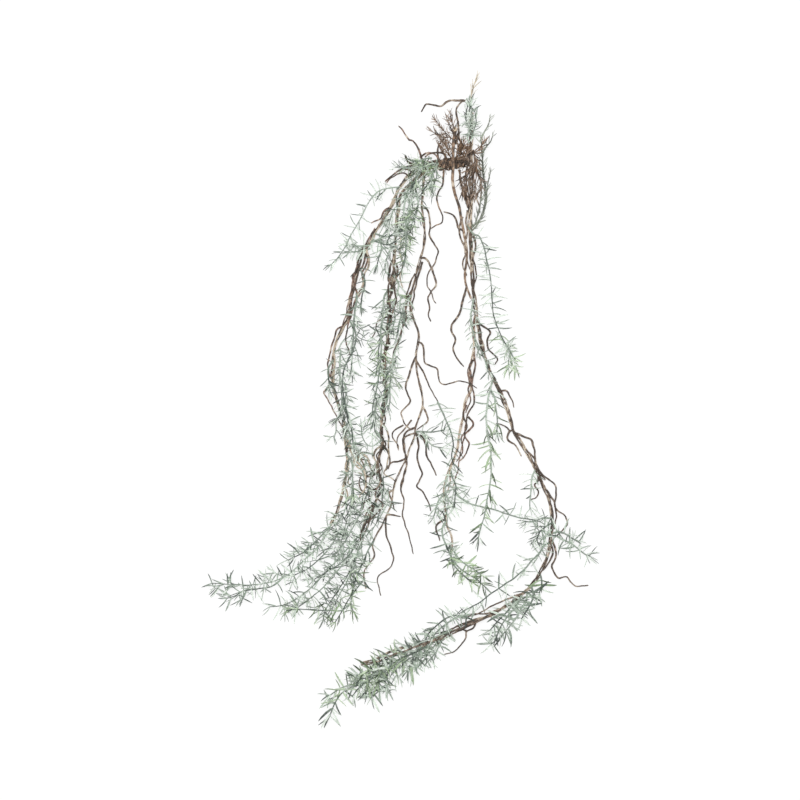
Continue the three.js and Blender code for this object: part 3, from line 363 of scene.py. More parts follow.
# Woody strands: half their thickness at root and tip, count of weathered twigs, route, and what leaves it
STRANDS = {
    "strand_right": {
        "slot": "dark_bark",
        "radius": (2.2, 1.5),
        "weathered": 0,
        "route": [
            (86, 345, 10), (85.5, 325, 8), (85, 305, 7), (86, 286, 6.5), (85.5, 265, 6.2), (86, 245, 6),
            (84, 228, 5.5), (84.5, 210, 5), (85.5, 190, 4.5), (86.5, 165, 4), (88, 140, 4),
            (89.5, 118, 4), (92, 100, 4), (96, 80, 4), (99.5, 60, 4), (105, 42, 4), (112, 26, 4),
            (120, 12, 4), (127, -7, 4), (133, -25, 4), (137, -39, 4), (147, -54, 4), (157, -71, 4),
            (165, -86, 4), (172, -102, 4), (179, -118, 3.5), (182.5, -135, 2.2), (183, -152, 1),
            (181.5, -167, 1.9), (177.5, -185, 3), (171, -203, 3.5), (163, -217, 4), (151, -230, 5),
            (138, -241, 5), (124, -250, 5), (110, -258, 5), (92, -264.5, 5), (75, -270, 5), (60, -278, 5),
            (47, -288, 4), (32, -293, 2.2), (15, -295.5, 0.6), (0, -299, 2.2), (-15, -305, 4),
            (-30, -313, 5), (-46, -316.5, 5),
        ],
        "roots": [
            [(94, 92, 4), (104, 86, 6), (109, 80, 7), (105, 71, 7), (107, 61, 7), (117, 50, 6),
             (114.5, 43, 5)],
            [(121, 11, 4), (128.5, 11, 6), (133, 3, 6), (137, -8, 5)],
            [(136.3, -36, 4), (131.5, -38, 5), (130, -47, 5), (140, -55, 5), (145, -66, 4)],
            [(132, -37.6, 5), (127, -32, 6), (117, -28, 6)],
            [(137, -39, 4), (148, -43.5, 6), (158, -48.5, 7), (161.5, -60, 7), (163, -75, 6.5),
             (170, -88, 6.5), (180, -97, 7), (187, -105, 7), (186.5, -117, 6), (185.5, -127, 5),
             (190, -133, 6), (199, -140, 6), (201.5, -149, 6), (194, -158, 5.5), (187, -164, 5)],
            [(166, -88, 4), (166, -97, 5), (161, -102.5, 6), (166, -110, 6), (164, -117.5, 6),
             (157, -119.5, 5)],
            [(181.5, -167, 2.5), (186.5, -178, 4), (187.5, -189, 4), (182.5, -199, 4), (186, -208, 4),
             (191, -215, 4), (200, -212, 4), (206, -220, 4), (212, -223.5, 4), (226, -223.5, 3)],
            [(127, -248.2, 5), (114, -253, 8.5), (99, -256, 10), (82, -257.5, 11)],
            [(92, -264.5, 5), (88, -274, 6), (80, -278, 6.5), (79, -285, 6), (72, -296, 5), (65, -302, 4),
             (54, -306, 3)],
            [(80.5, -277.8, 6.5), (74, -275, 6), (70, -272, 5)],
        ],
        "twigs": [
            [(72, 276, 11), (72, 264, 13), (75, 250, 12), (79, 238, 9), (83, 228, 6)],
            [(90, 282, 10), (95, 268, 12), (97, 254, 12), (92, 245, 11), (96, 230, 9), (91, 214, 6)],
            [(80, 300, 11), (82, 286, 13), (79, 270, 13), (81, 254, 11), (84, 240, 8)],
            [(88, 300, 10), (90, 286, 12), (88, 270, 12), (90, 254, 10), (87, 240, 7)],
            [(81, 228, 6), (79, 214, 8), (81, 200, 8), (77, 186, 8), (80, 172, 7), (83, 158, 5)],
            [(75, 220, 8), (71, 206, 10), (74, 192, 10), (79, 178, 9), (76, 164, 8), (80, 150, 6)],
            [(88, 200, 6), (91, 186, 8), (88, 170, 8), (92, 154, 8), (89, 138, 6)],
            [(150, -58, 5), (162, -72, 7), (166, -86, 7), (174, -96, 6)],
            [(176, -108, 5), (186, -124, 7), (188, -140, 6), (185, -154, 4)],
            [(180, -170, 4), (184, -184, 6), (176, -200, 7), (166, -212, 6)],
            [(150, -231, 6), (132, -238, 8), (114, -246, 8), (94, -256, 8), (76, -262, 7)],
            [(118, -254, 6), (98, -264, 8), (78, -274, 8), (58, -284, 8), (40, -296, 7), (22, -300, 5)],
            [(60, -278, 6), (50, -281, 8), (44, -287, 8), (36, -286, 8), (30, -292, 6)],
            [(60, -277, 8), (45, -285, 15), (30, -291, 17), (14, -297, 18), (-2, -303, 18),
             (-18, -309, 17), (-32, -315, 14), (-46, -317, 10)],
            [(92, -264, 8), (76, -272, 14), (62, -277, 16), (50, -285, 17), (38, -289, 17),
             (26, -295, 15)],
        ],
    },
    "strand_right_inner": {
        "slot": "red_bark",
        "radius": (1.5, 1),
        "weathered": 1,
        "route": [
            (91.5, 102, 6), (88.5, 88, 7), (88.5, 72, 7), (89, 58, 7), (86, 46, 6), (82.5, 34, 6),
            (84, 22, 6), (85, 12, 6), (80, 2, 6), (77.5, -8, 6), (76.5, -20, 6), (73, -32, 6),
            (70.5, -44, 6), (69.5, -56, 6), (66, -68, 6), (60, -81, 6), (55.5, -94, 5), (53, -108, 5),
            (52.5, -118, 5), (55, -129, 5), (55, -141, 5), (57, -152, 5), (61.5, -162, 4.5),
            (63, -173, 4.5), (62, -185, 4.5),
        ],
        "roots": [
            [(89, 58, 7), (90, 44, 8), (88, 30, 8), (87, 16, 8), (89.5, 4, 8), (88, -6, 8), (82, -16, 8),
             (80, -28, 8), (77.5, -42, 8), (74.5, -55, 8), (72, -70, 8), (69, -85, 8), (66, -97, 8),
             (63, -107, 8)],
            [(81.5, -20, 8), (88, -28, 8.5), (84, -36, 8.5), (78, -43, 8), (82.5, -54, 8.5),
             (77, -67, 8.5), (71.5, -73, 8)],
            [(54.6, -143, 5), (45, -149, 5), (43, -156, 5), (48, -168.5, 4)],
        ],
        "twigs": [
            [(88, 48, 7), (83, 40, 9), (86, 26, 9), (82, 14, 9), (85, 0, 9), (79, -14, 8)],
            [(80, -6, 7), (76, -18, 9), (80, -32, 9), (74, -46, 9), (76, -60, 9), (68, -74, 8)],
            [(66, -70, 7), (60, -84, 9), (60, -98, 9), (56, -110, 8)],
        ],
    },
    "strand_left_outer": {
        "slot": "red_bark",
        "radius": (1.8, 1.5),
        "weathered": 3,
        "route": [
            (37.2, 285, 8), (31, 283.5, 8), (22, 278, 8), (10, 268, 8), (1, 257, 7.5), (-5, 246, 7),
            (-11, 232, 6), (-20, 217, 5.5), (-29, 204, 5), (-36, 190, 4.5), (-45, 177, 4), (-50, 162, 4),
            (-53, 147, 4), (-56, 132, 4), (-60, 116, 4), (-62, 100, 4), (-68, 88, 4), (-75, 74, 4),
            (-79, 59, 4), (-80.5, 42, 4), (-82, 27, 4), (-80, 13, 4), (-75, -2, 3.6), (-70, -16, 3),
            (-67, -31, 1.8), (-66, -46, 0.8), (-64.5, -60, 1.8), (-63, -76, 3), (-65, -92, 4),
            (-68, -107, 4), (-70.5, -119, 4.5), (-76, -135, 6), (-83, -150, 8),
        ],
        "roots": [
            [(28, 281.5, 8), (25, 292, 11), (21, 304, 13), (15, 311.5, 13), (11, 312.5, 13), (5, 320, 12),
             (-1, 328, 11)],
            [(19, 275.5, 8), (14, 283, 11), (9, 286, 12), (8, 292, 12)],
            [(16, 273, 8), (8, 277, 11), (-1, 275, 12), (-9, 270, 12), (-17, 262, 11)],
            [(-11, 232, 6), (-18, 228, 7), (-24, 219, 7), (-34, 212.5, 6)],
            [(-42, 181, 4.2), (-39, 167, 5), (-45, 152, 5), (-44, 139, 5), (-50, 124, 5)],
            [(-38, 186, 5), (-41, 174, 6), (-47, 158, 6), (-56, 150, 5.5), (-54, 138, 5.5),
             (-52, 125, 5.5), (-57, 112, 5.5), (-59, 100, 5), (-64, 91, 5), (-76, 84, 5), (-80, 70, 5),
             (-84, 56, 5), (-87, 42, 5), (-86, 32, 5), (-81, 22, 5), (-86, 16, 5), (-91, 9, 5),
             (-86, 0, 5), (-81, -10, 5), (-76, -20, 4.5), (-71, -30, 4), (-67, -40, 3)],
            [(-65, -56, 2.4), (-57, -60, 4), (-51, -69, 4.5), (-40, -72, 4.5), (-35, -78, 4.5)],
            [(16, 282, 9), (6, 279, 12), (1, 277, 13), (-9, 270, 13), (-17, 263, 12)],
            [(12, 268, 9), (5, 272, 12), (-3, 271, 13), (-10, 266, 13), (-15, 260, 12)],
            [(24, 291, 12), (32, 296, 14), (40, 295, 14), (46, 290, 12)],
            [(18, 283, 12), (12, 284, 14), (8, 288, 14), (7, 293, 13)],
        ],
        "twigs": [
            [(-64, -55, 3), (-57, -59, 6), (-51, -61, 7), (-50, -69, 7), (-45, -75, 8), (-41, -87, 8)],
            [(-60, -59, 5), (-56, -70, 7), (-53, -79, 8), (-47, -84, 8)],
            [(-64, -46, 4), (-54, -71, 12), (-43, -86, 13), (-41, -102, 13), (-48, -115, 12)],
            [(-63, -70, 4), (-66, -82, 6), (-62, -92, 7), (-61, -101, 7), (-55, -100, 7)],
            [(-67, -104, 4), (-63, -112, 6), (-64, -121, 7), (-70, -129, 7)],
            [(-37, 190, 5), (-40, 178, 8), (-37, 164, 9), (-43, 150, 9), (-46, 136, 8), (-53, 122, 6)],
            [(-30, 206, 6), (-38, 192, 8), (-47, 178, 8), (-52, 160, 8), (-57, 140, 8), (-60, 124, 8),
             (-64, 108, 8), (-68, 94, 7), (-74, 80, 6)],
            [(-46, 172, 6), (-49, 158, 9), (-53, 142, 9), (-57, 126, 9), (-60, 110, 9), (-62, 94, 9),
             (-65, 74, 10), (-62, 62, 10), (-58, 50, 9)],
            [(-80, 60, 6), (-78, 46, 8), (-79, 32, 8), (-79, 18, 8), (-78, 4, 8), (-74, -10, 6)],
        ],
    },
    "strand_left_middle": {
        "slot": "dark_bark",
        "radius": (1.7, 1.3),
        "weathered": 2,
        "route": [
            (37.2, 279.5, 4.6), (31, 276, 4.6), (22, 268.5, 4.6), (10, 258, 4.6), (1, 247, 4.5),
            (-2, 232, 4.5), (-4, 215, 4.5), (-5, 198, 4.5), (-6, 180, 4.5), (-7, 163, 4.5),
            (-6.5, 150, 4.5), (-10, 138, 4.5), (-12.5, 122, 4.5), (-13, 105, 4.5), (-14, 88, 4.5),
            (-16, 70, 4.5), (-18.5, 52, 4.5), (-19, 34, 4.5), (-16.5, 18, 4.5), (-17, 4, 4.5),
            (-20, -10, 4.5), (-22.5, -26, 4.5), (-22, -40, 4.5), (-20.5, -54, 4.5), (-25, -68, 4.5),
            (-27, -82, 4.5), (-23.5, -94, 4.5), (-24, -107, 4.5), (-28.5, -121, 4.5), (-36, -135, 5),
            (-42.5, -149, 6), (-47, -162, 8),
        ],
        "roots": [
            [(-6.2, 174, 4.6), (-12, 161, 5), (-13.5, 146, 5.5), (-9, 130, 6), (-15, 114, 6),
             (-10, 98, 6), (-17, 82, 6), (-12, 68, 6), (-21, 52, 6), (-16, 36, 6), (-21, 22, 6),
             (-14, 8, 6), (-22, -8, 6), (-18, -24, 6), (-25, -40, 6), (-17, -54, 6), (-28, -66, 6),
             (-22, -80, 6), (-28, -94, 6), (-20, -106, 6), (-30, -122, 5.5)],
            [(-13, 101, 4.6), (-23, 97, 5), (-29, 90, 5), (-30, 81, 5), (-33, 75, 4.5)],
            [(-20.5, -54, 4.6), (-15, -62, 5), (-12, -72, 5), (-14, -82, 5)],
            [(-26, -88, 4.6), (-37, -90, 5.5), (-43, -97, 5.5), (-41, -104, 5.5), (-32, -108, 5.5),
             (-26, -113, 5)],
        ],
        "twigs": [
            [(-50, -63, 6), (-44, -65, 8), (-38, -72, 8), (-35, -82, 8), (-30, -88, 7), (-26, -86, 5)],
            [(-28, -106, 5), (-33, -108, 7), (-42, -103, 8), (-43, -99, 8), (-40, -92, 8), (-40, -87, 8)],
            [(-27, -84, 5), (-29, -89, 7), (-38, -92, 8), (-47, -88, 9), (-54, -86, 9)],
            [(-36, -116, 6), (-41, -112, 8), (-47, -107, 9), (-49, -98, 9), (-47, -90, 8)],
            [(-21, -28, 5), (-15, -38, 7), (-14, -56, 8), (-13, -68, 8), (-16, -80, 8), (-19, -88, 8),
             (-12, -93, 8), (-6, -97, 7)],
            [(-29, -122, 5), (-36, -129, 8), (-41, -135, 8), (-43, -145, 8)],
            [(-22, -54, 5), (-29, -60, 7), (-31, -67, 8), (-29, -76, 8), (-31, -85, 7)],
            [(-34, -118, 6), (-43, -123, 9), (-46, -131, 9), (-53, -136, 9)],
            [(-4, 205, 5), (2, 192, 8), (0, 178, 8), (4, 164, 8), (0, 150, 8), (3, 136, 7)],
            [(-6, 168, 6), (-9, 150, 12), (-14, 136, 14), (-13, 122, 14), (-12, 106, 14), (-15, 92, 14),
             (-14, 76, 14), (-18, 60, 14), (-17, 44, 13), (-20, 28, 10)],
            [(-4, 164, 6), (-3, 154, 11), (-7, 139, 13), (-4, 120, 13), (-8, 106, 13), (-11, 92, 12)],
            [(-20, -46, 6), (-26, -74, 13), (-23, -96, 14), (-30, -115, 14), (-20, -126, 14),
             (-33, -140, 14), (-42, -157, 13), (-45, -169, 10)],
            [(-30, -124, 6), (-37, -143, 14), (-44, -151, 15), (-48, -169, 13)],
            [(-22, 6, 6), (-18, -8, 12), (-21, -24, 13), (-24, -38, 13), (-20, -52, 12), (-25, -66, 11),
             (-24, -80, 9)],
        ],
    },
    "strand_left_inner": {
        "slot": "dark_bark",
        "radius": (1.35, 0.75),
        "weathered": 0,
        "route": [
            (37.2, 282, 10.4), (33, 279.5, 11.2), (29.5, 271, 11.2), (28, 259, 9.5), (27, 246, 7.5),
            (26.5, 230, 6), (28.5, 213, 5), (30, 197, 4.5), (28, 182, 4.5), (24, 168, 4.5),
            (20, 154, 4.5), (16.5, 140, 4.5), (13, 124, 4.5), (12.5, 109, 4.5), (17, 95, 4.5),
            (22, 82, 4.5), (22, 68, 4.5), (19, 55, 4.5), (19.5, 42, 4.5), (22, 26, 4.5), (26, 10, 4.5),
            (27, -5, 4.5), (24, -18, 4.5), (19.5, -30, 4.5), (17, -44, 4.5), (12, -58, 4.5),
            (8, -70, 4.5), (1, -84, 4.5), (-5, -96, 4.5), (-8, -110, 4.5), (-10, -124, 4.5),
            (-15.5, -137, 4.5), (-21, -150, 4.5), (-28, -163, 4.5), (-32.5, -174, 4.5), (-31, -187, 4.5),
            (-38, -198, 4.5), (-43, -208, 4), (-41, -227, 3),
        ],
        "roots": [
            [(15, 133, 4.6), (9, 122, 5), (6, 106, 5), (3, 90, 5), (1, 76, 5)],
            [(19.3, 48, 4.5), (26, 36, 5), (33, 22, 5.5), (40, 9, 6), (46, -4, 7)],
            [(22, 70, 4.6), (27, 67, 6), (29.5, 57, 7), (30, 46, 7), (36, 41.5, 7), (43, 38, 8),
             (46, 30, 9), (48, 22, 10), (54, 18.5, 11), (62, 20, 12), (70, 22.5, 12.5), (80, 21.5, 13),
             (92, 15, 12)],
            [(18.8, 52, 4.5), (14.5, 41, 5), (11, 28, 5), (6.5, 18, 5), (8, 8, 5), (13, 0, 5), (8, -8, 5),
             (1.5, -16, 5), (4, -26, 5), (11, -34, 5)],
            [(18.6, -37, 4.6), (22.5, -52, 5), (21.5, -66, 5), (22, -77, 5), (26, -88, 5), (23, -97, 5),
             (20.5, -104, 5), (28, -111, 5), (33, -121, 5), (37, -133, 4)],
            [(18, -41, 4.6), (26, -44, 6), (31, -54, 6), (32, -66, 6), (37, -77, 6), (43, -90, 5)],
            [(8, -70, 4.6), (8, -80, 5.5), (5, -90, 5.5), (0.5, -101, 5.5), (1.5, -112, 5.5),
             (4.5, -122, 5.5), (3, -136, 5.5), (6.5, -150, 5), (11.5, -166, 4), (16, -184, 3)],
            [(18.8, -33, 4.6), (8, -38, 5.5), (3.5, -48, 5.5), (4.5, -60, 5.5), (8, -69, 5)],
            [(27, -7, 4.6), (32, -17, 5.5), (34, -25, 5.5), (28, -31, 5.5), (20, -36, 5)],
            [(-16.5, -139, 4.6), (-17.5, -154, 5), (-14, -170, 5), (-9, -184, 5), (-8, -193, 5),
             (-13, -203, 5), (-22, -209, 5), (-27, -217, 4.5), (-23, -235, 3)],
            [(26.6, 234, 6.3), (33, 228, 7), (36, 217, 7), (36, 206, 7), (36, 197, 7), (42, 187, 7),
             (46.5, 179, 7), (43, 168, 7), (37.5, 158, 7), (33, 147, 7), (32.5, 137, 7), (37, 130.5, 7),
             (40, 121, 6), (43, 117, 5)],
            [(24.6, 171, 4.6), (31, 170, 6), (36, 162, 7), (42, 148, 7), (43.5, 138, 7), (37, 130.5, 7),
             (33, 121, 7), (35, 111, 7), (34, 102, 6), (36.5, 95, 5)],
        ],
        "twigs": [
            [(17, -40, 6), (5, -46, 8), (6, -62, 8), (8, -76, 8), (6, -88, 8), (2, -106, 7)],
            [(8, -70, 5), (-1, -74, 7), (-10, -75, 8), (-16, -84, 8)],
            [(4, -30, 7), (-7, -37, 9), (-9, -45, 9), (-3, -53, 9), (-2, -60, 8)],
            [(-8, -108, 5), (-13, -112, 7), (-9, -123, 7), (-7, -131, 7)],
            [(-16, -138, 5), (-9, -138, 7), (0, -140, 8)],
            [(14, -24, 6), (7, -33, 8), (-1, -42, 9), (-4, -50, 9), (-3, -57, 8)],
            [(18, 152, 6), (10, 135, 9), (7, 118, 10), (8, 99, 11), (3, 86, 12), (-1.5, 72.6, 12),
             (-7, 57.6, 12), (-12, 42, 10)],
            [(27, 166, 6), (22, 150, 8), (18, 134, 8), (16, 120, 8), (14, 106, 6)],
        ],
    },
}

# Leafy shoots: distance between whorls, length of the needles, what differs from a usual shoot, stalks
SHOOTS = {
    "shoot_crown": {
        "slot": "sage_needles", "spacing": 3.8, "needle": 11,
        "stalk": 0.75, "dimness": 0.5, "side_twigs": False,
        "stalks": [
            [(86, 316, 8), (85, 329, 13.5), (83, 343, 14), (84, 357, 14)],
            [(84, 322, 12), (80, 332, 15), (79, 343, 15), (81, 354, 14)],
            [(85, 312, 11), (88, 322, 15), (91, 333, 15), (90, 345, 14)],
            [(84, 305, 11), (81, 314, 15), (83, 326, 17), (86, 340, 17), (85, 352, 16)],
        ],
    },
    "shoot_crown_tip": {
        "slot": "pale_needles", "spacing": 3, "needle": 13,
        "spread": 0.4, "width": 0.6, "stalk": 0.6, "side_twigs": False,
        "stalks": [
            [(84, 358, 14), (85.5, 366, 14.5), (88, 375, 14.5), (90, 382, 14)],
        ],
    },
    "shoot_right_loop": {
        "slot": "olive_needles", "spacing": 8, "needle": 8,
        "spread": 0.6, "stalk": 0.9, "side_twigs": False,
        "stalks": [
            [(84.5, 210, 5), (91, 211, 10), (99, 221, 12), (104, 241, 12), (102, 262, 12),
             (99.5, 282, 12), (98.5, 300, 12), (97, 315, 11.5)],
            [(86, 203, 5), (90, 207, 9), (95.4, 215, 11), (100, 229, 13), (102.5, 242, 13),
             (101.6, 253, 13), (99.4, 269, 13), (99, 284, 13), (98, 299, 12)],
            [(102, 246, 12), (104.5, 252, 13), (105.6, 261, 13), (108.8, 273, 12)],
            [(99, 296, 12), (103, 303, 13), (108.8, 310, 12), (111, 316, 11)],
            [(96, 310, 12), (101, 321, 12), (106, 330, 11), (108, 338, 10)],
            [(85, 206, 5), (90, 211, 8), (93, 222, 10), (97, 238, 11), (98, 254, 12), (96, 270, 12),
             (95, 286, 12)],
        ],
    },
    "shoot_dry_left": {
        "slot": "dry_needles", "spacing": 2.6, "needle": 8,
        "spread": 0.65, "stalk": 0.6, "side_twigs": False,
        "stalks": [
            [(65, 310, 16.5), (58, 316, 20), (50, 325, 21), (43, 334, 21)],
            [(60, 314.5, 19.5), (52, 314, 20), (44, 318, 20), (36, 322, 19)],
            [(64, 304, 17), (59, 308, 21), (54, 312, 22), (48, 315, 21)],
            [(65, 314, 17), (62, 322, 21), (59, 330, 22), (56, 337, 21)],
            [(67, 312, 17), (66, 322, 20), (62, 332, 21), (60, 342, 20)],
            [(63, 300, 17), (57, 301, 20), (53, 306, 20), (50, 311, 19)],
        ],
    },
    "shoot_dry_right": {
        "slot": "dry_needles", "spacing": 2.6, "needle": 10,
        "spread": 0.5, "stalk": 0.6, "side_twigs": False,
        "stalks": [
            [(85.5, 300, 7), (90, 291, 11.5), (92, 278, 12.5), (91, 262, 12), (88.5, 248, 11)],
            [(91, 284, 12), (82, 276, 13.5), (77, 264, 13), (77, 248, 11.5)],
            [(86, 296, 9), (92, 298, 13), (97, 303, 13), (101, 310, 12)],
            [(86, 286, 9), (80, 288, 14), (75, 294, 15), (72, 302, 14)],
            [(86, 278, 9), (93, 272, 14), (97, 262, 14), (96, 252, 13), (92, 246, 12)],
            [(85, 270, 9), (80, 262, 13), (79, 250, 13), (82, 240, 11)],
            [(86, 306, 9), (79, 302, 14), (74, 306, 15), (71, 313, 14)],
            [(70, 276, 14), (73, 264, 15), (75, 252, 14), (79, 240, 11)],
        ],
    },
    "shoot_dry_knot": {
        "slot": "dry_needles", "spacing": 2.6, "needle": 10,
        "spread": 0.7, "stalk": 0.6, "side_twigs": False,
        "stalks": [
            [(72, 289, 11), (73, 298, 15), (76, 307, 16)],
            [(56, 288, 11), (52, 295, 15), (50, 303, 16)],
            [(62, 289, 12), (58, 296, 16), (56, 304, 17)],
            [(66, 288, 13), (70, 295, 17), (70, 304, 18)],
            [(77, 287, 11), (79, 295, 15), (82, 302, 16)],
        ],
    },
    "shoot_knot": {
        "slot": "sage_needles", "spacing": 4.5, "needle": 11,
        "width": 0.8, "dimness": 1.1, "fresh": (0.1, 0.75),
        "stalks": [
            [(44, 283, 12), (38, 283, 15.5), (30, 280, 16.5), (20, 275, 16.5), (12, 266, 15)],
            [(31, 280.5, 16.4), (36, 270, 17), (38, 257, 15), (40, 246, 12)],
            [(40, 285, 10), (31, 280, 14), (24, 272, 16), (17, 262, 16), (12, 250, 15)],
            [(43, 280, 9), (39, 271, 13), (35, 262, 14), (30, 254, 13), (25, 246, 12)],
            [(46, 284, 11), (41, 276, 15), (39, 266, 16), (36, 257, 15)],
            [(34, 284, 12), (25, 286, 16), (16, 286, 16), (9, 289, 15)],
            [(30, 279, 12), (20, 279, 16), (10, 278, 16), (-4, 279, 14)],
            [(38, 290, 11), (30, 289, 15), (22, 286, 16), (17, 280, 15)],
            [(36, 284, 12), (33, 275, 16), (28, 267, 16), (22, 260, 15)],
            [(44, 288, 11), (43, 278, 15), (44, 268, 15), (41, 259, 14)],
            [(28, 285, 12), (24, 277, 16), (20, 269, 16), (18, 259, 15)],
        ],
    },
    "shoot_arch": {
        "slot": "sage_needles", "spacing": 5.5, "needle": 13,
        "spread": 1.0, "stalk": 0.75, "dimness": 0.45, "side_twigs": False,
        "stalks": [
            [(0, 256, 7.5), (-9, 254.5, 11), (-22, 252, 12), (-31, 246, 13), (-38, 236, 13),
             (-45, 222, 13), (-53, 207, 12), (-60, 195, 12), (-67, 182, 11), (-74, 171, 10),
             (-82, 163, 9)],
        ],
    },
    "shoot_upper": {
        "slot": "sage_needles", "spacing": 6.5, "needle": 13,
        "width": 0.9, "dimness": 1.0, "fresh": (0.4, 0.85),
        "stalks": [
            [(3, 250, 4.5), (10, 242, 11), (12, 226, 13), (10, 210, 13.5), (8, 195, 13.5), (7, 180, 13),
             (5, 167, 12), (2, 156, 11)],
            [(14, 262, 7), (16, 250, 12), (14, 238, 14), (10, 226, 14), (8, 212, 13), (5, 199, 12),
             (1, 188, 11)],
            [(16, 258, 7), (20, 248, 12), (22, 236, 13), (20, 224, 13), (15, 212, 12), (12, 200, 11)],
            [(12, 256, 7), (7, 246, 12), (5, 234, 13), (5, 222, 14), (7, 208, 14), (6, 194, 13),
             (7, 180, 12), (6, 168, 11)],
        ],
    },
    "shoot_bridge": {
        "slot": "sage_needles", "spacing": 6, "needle": 14,
        "dimness": 0.55, "side_twigs": False,
        "stalks": [
            [(-36, 190, 4.5), (-28, 192, 10), (-17, 195, 12), (-6, 200, 13)],
            [(-20, 213, 6), (-14, 207, 10), (-6, 203, 12), (4, 205, 12)],
            [(-34, 192, 6), (-25, 189, 10), (-14, 186, 12), (-5, 190, 12)],
            [(-30, 200, 6), (-18, 196, 11), (-8, 198, 13), (4, 204, 13)],
            [(-34, 186, 6), (-44, 185, 9), (-52, 184.5, 10), (-60, 184, 9)],
            [(-36, 182, 6), (-46, 179, 9), (-56, 178, 10), (-66, 178, 9)],
            [(-24, 192, 9), (-22, 182, 11), (-25, 172, 11), (-27, 164, 10)],
        ],
    },
    "shoot_left_gap": {
        "slot": "sage_needles", "spacing": 6, "needle": 13,
        "stalks": [
            [(-1.5, 234, 4.5), (-7, 229, 10), (-11, 220, 12), (-13, 213, 12)],
        ],
    },
    "shoot_left_gap_low": {
        "slot": "sage_needles", "spacing": 6, "needle": 13,
        "stalks": [
            [(-5.5, 186, 4.5), (-12, 180, 10), (-16, 169, 11), (-19, 158, 11)],
        ],
    },
    "shoot_centre_gap": {
        "slot": "sage_needles", "spacing": 6.5, "needle": 13,
        "stalks": [
            [(9, 122, 5), (3, 124, 10), (-0.5, 114, 12), (1, 102, 12), (-1.5, 90, 12)],
        ],
    },
    "shoot_outer": {
        "slot": "sage_needles", "spacing": 9.5, "needle": 14,
        "stalks": [
            [(-52.3, 128, 5.5), (-52, 119, 10), (-54, 107, 11), (-55, 92, 12), (-53, 76, 12),
             (-56, 60, 12), (-63, 46, 12), (-68, 32, 12), (-69, 16, 12), (-67, 0, 12), (-64, -14, 12),
             (-60, -28, 12), (-57, -42, 11), (-56, -53, 10)],
            [(-50, 160, 5), (-44, 150, 10), (-42, 138, 12), (-45, 126, 12), (-48, 112, 11)],
            [(-80, 48, 5), (-86, 38, 9), (-86, 26, 10), (-84, 12, 10)],
            [(-62, 98, 5), (-56, 86, 9), (-56, 72, 11), (-58, 58, 11), (-58, 44, 11), (-60, 30, 10)],
            [(-78, 58, 5), (-71, 60, 9), (-72, 46, 11), (-72, 30, 11), (-71, 14, 11), (-69, 0, 10),
             (-66, -14, 9)],
            [(-68, 22, 8), (-64, 12, 10), (-66, 0, 11), (-64, -14, 11), (-62, -28, 10)],
        ],
    },
    "shoot_outer_low": {
        "slot": "sage_needles", "spacing": 11, "needle": 12,
        "stalks": [
            [(-70, -16, 4), (-76, -25, 9.5), (-77, -35, 10), (-79, -45, 8)],
            [(-65, -36, 4), (-58, -44, 9), (-56, -56, 10), (-58, -68, 9)],
        ],
    },
    "shoot_middle": {
        "slot": "sage_needles", "spacing": 7, "needle": 15,
        "fresh": (0.3, 0.6),
        "stalks": [
            [(-11, 134, 4.5), (-18, 126, 10.5), (-20, 112, 12), (-21, 97, 12.5), (-23, 82, 13),
             (-22, 66, 13), (-23, 50, 13), (-25, 34, 13), (-27, 18, 13), (-30, 3, 13), (-33, -10, 13),
             (-31, -24, 12.5), (-30, -38, 11)],
            [(-8, 150, 6), (-2, 140, 11), (-4, 126, 13), (-8, 112, 13), (-6, 98, 12), (-9, 84, 11)],
            [(-14, 84, 6), (-22, 74, 11), (-26, 60, 12), (-26, 46, 12), (-24, 32, 11)],
            [(-18, 50, 6), (-10, 40, 11), (-10, 26, 12), (-13, 12, 12), (-16, -4, 11)],
            [(-18, 8, 6), (-27, -2, 11), (-30, -14, 12), (-29, -28, 11)],
        ],
    },
    "shoot_twin": {
        "slot": "sage_needles", "spacing": 8.5, "needle": 14,
        "stalks": [
            [(1.5, 78, 5), (-3, 66, 11), (-7, 54, 12), (-9, 42, 12.5), (-11, 30, 12.5), (-12, 16, 12.5),
             (-12, 2, 12), (-14, -11, 11)],
            [(14, 126, 6), (6, 116, 11), (2, 102, 12), (-2, 88, 12), (-4, 74, 11)],
        ],
    },
    "shoot_lower": {
        "slot": "sage_needles", "spacing": 12.5, "needle": 14,
        "spread": 1.2, "stalk": 0.8, "dimness": 0.9, "fresh": (0.35, 0.65),
        "stalks": [
            [(-63.5, -66, 3), (-58, -75, 9), (-57, -90, 10), (-57.5, -106, 10.5), (-59, -121, 10.5),
             (-62, -135, 10.5), (-65, -149, 10), (-68, -160, 9)],
        ],
    },
    "shoot_tangle_upper": {
        "slot": "sage_needles", "spacing": 6, "needle": 13,
        "spread": 1.2, "stalk": 0.8, "dimness": 0.9,
        "stalks": [
            [(-21.5, -47, 4.5), (-32, -55, 10), (-40, -53, 11), (-45, -44, 11), (-46, -33, 11)],
        ],
    },
    "shoot_tangle_side": {
        "slot": "sage_needles", "spacing": 6, "needle": 13,
        "spread": 1.2, "stalk": 0.8, "dimness": 0.9,
        "stalks": [
            [(-51, -69, 4.5), (-47, -79, 10), (-44, -91, 11), (-42, -103, 11), (-44, -115, 10)],
            [(-57, -112, 9), (-59, -126, 11), (-60, -140, 12), (-64, -156, 12), (-72, -172, 11)],
            [(-66, -112, 6), (-64, -124, 10), (-68, -136, 12), (-76, -148, 12)],
            [(-62, -50, 5), (-54, -56, 9), (-46, -64, 11), (-40, -76, 11)],
            [(-64, -64, 4), (-57, -76, 9), (-57, -90, 10), (-56, -104, 10), (-57, -118, 9)],
        ],
    },
    "shoot_tangle_lower": {
        "slot": "sage_needles", "spacing": 6, "needle": 14,
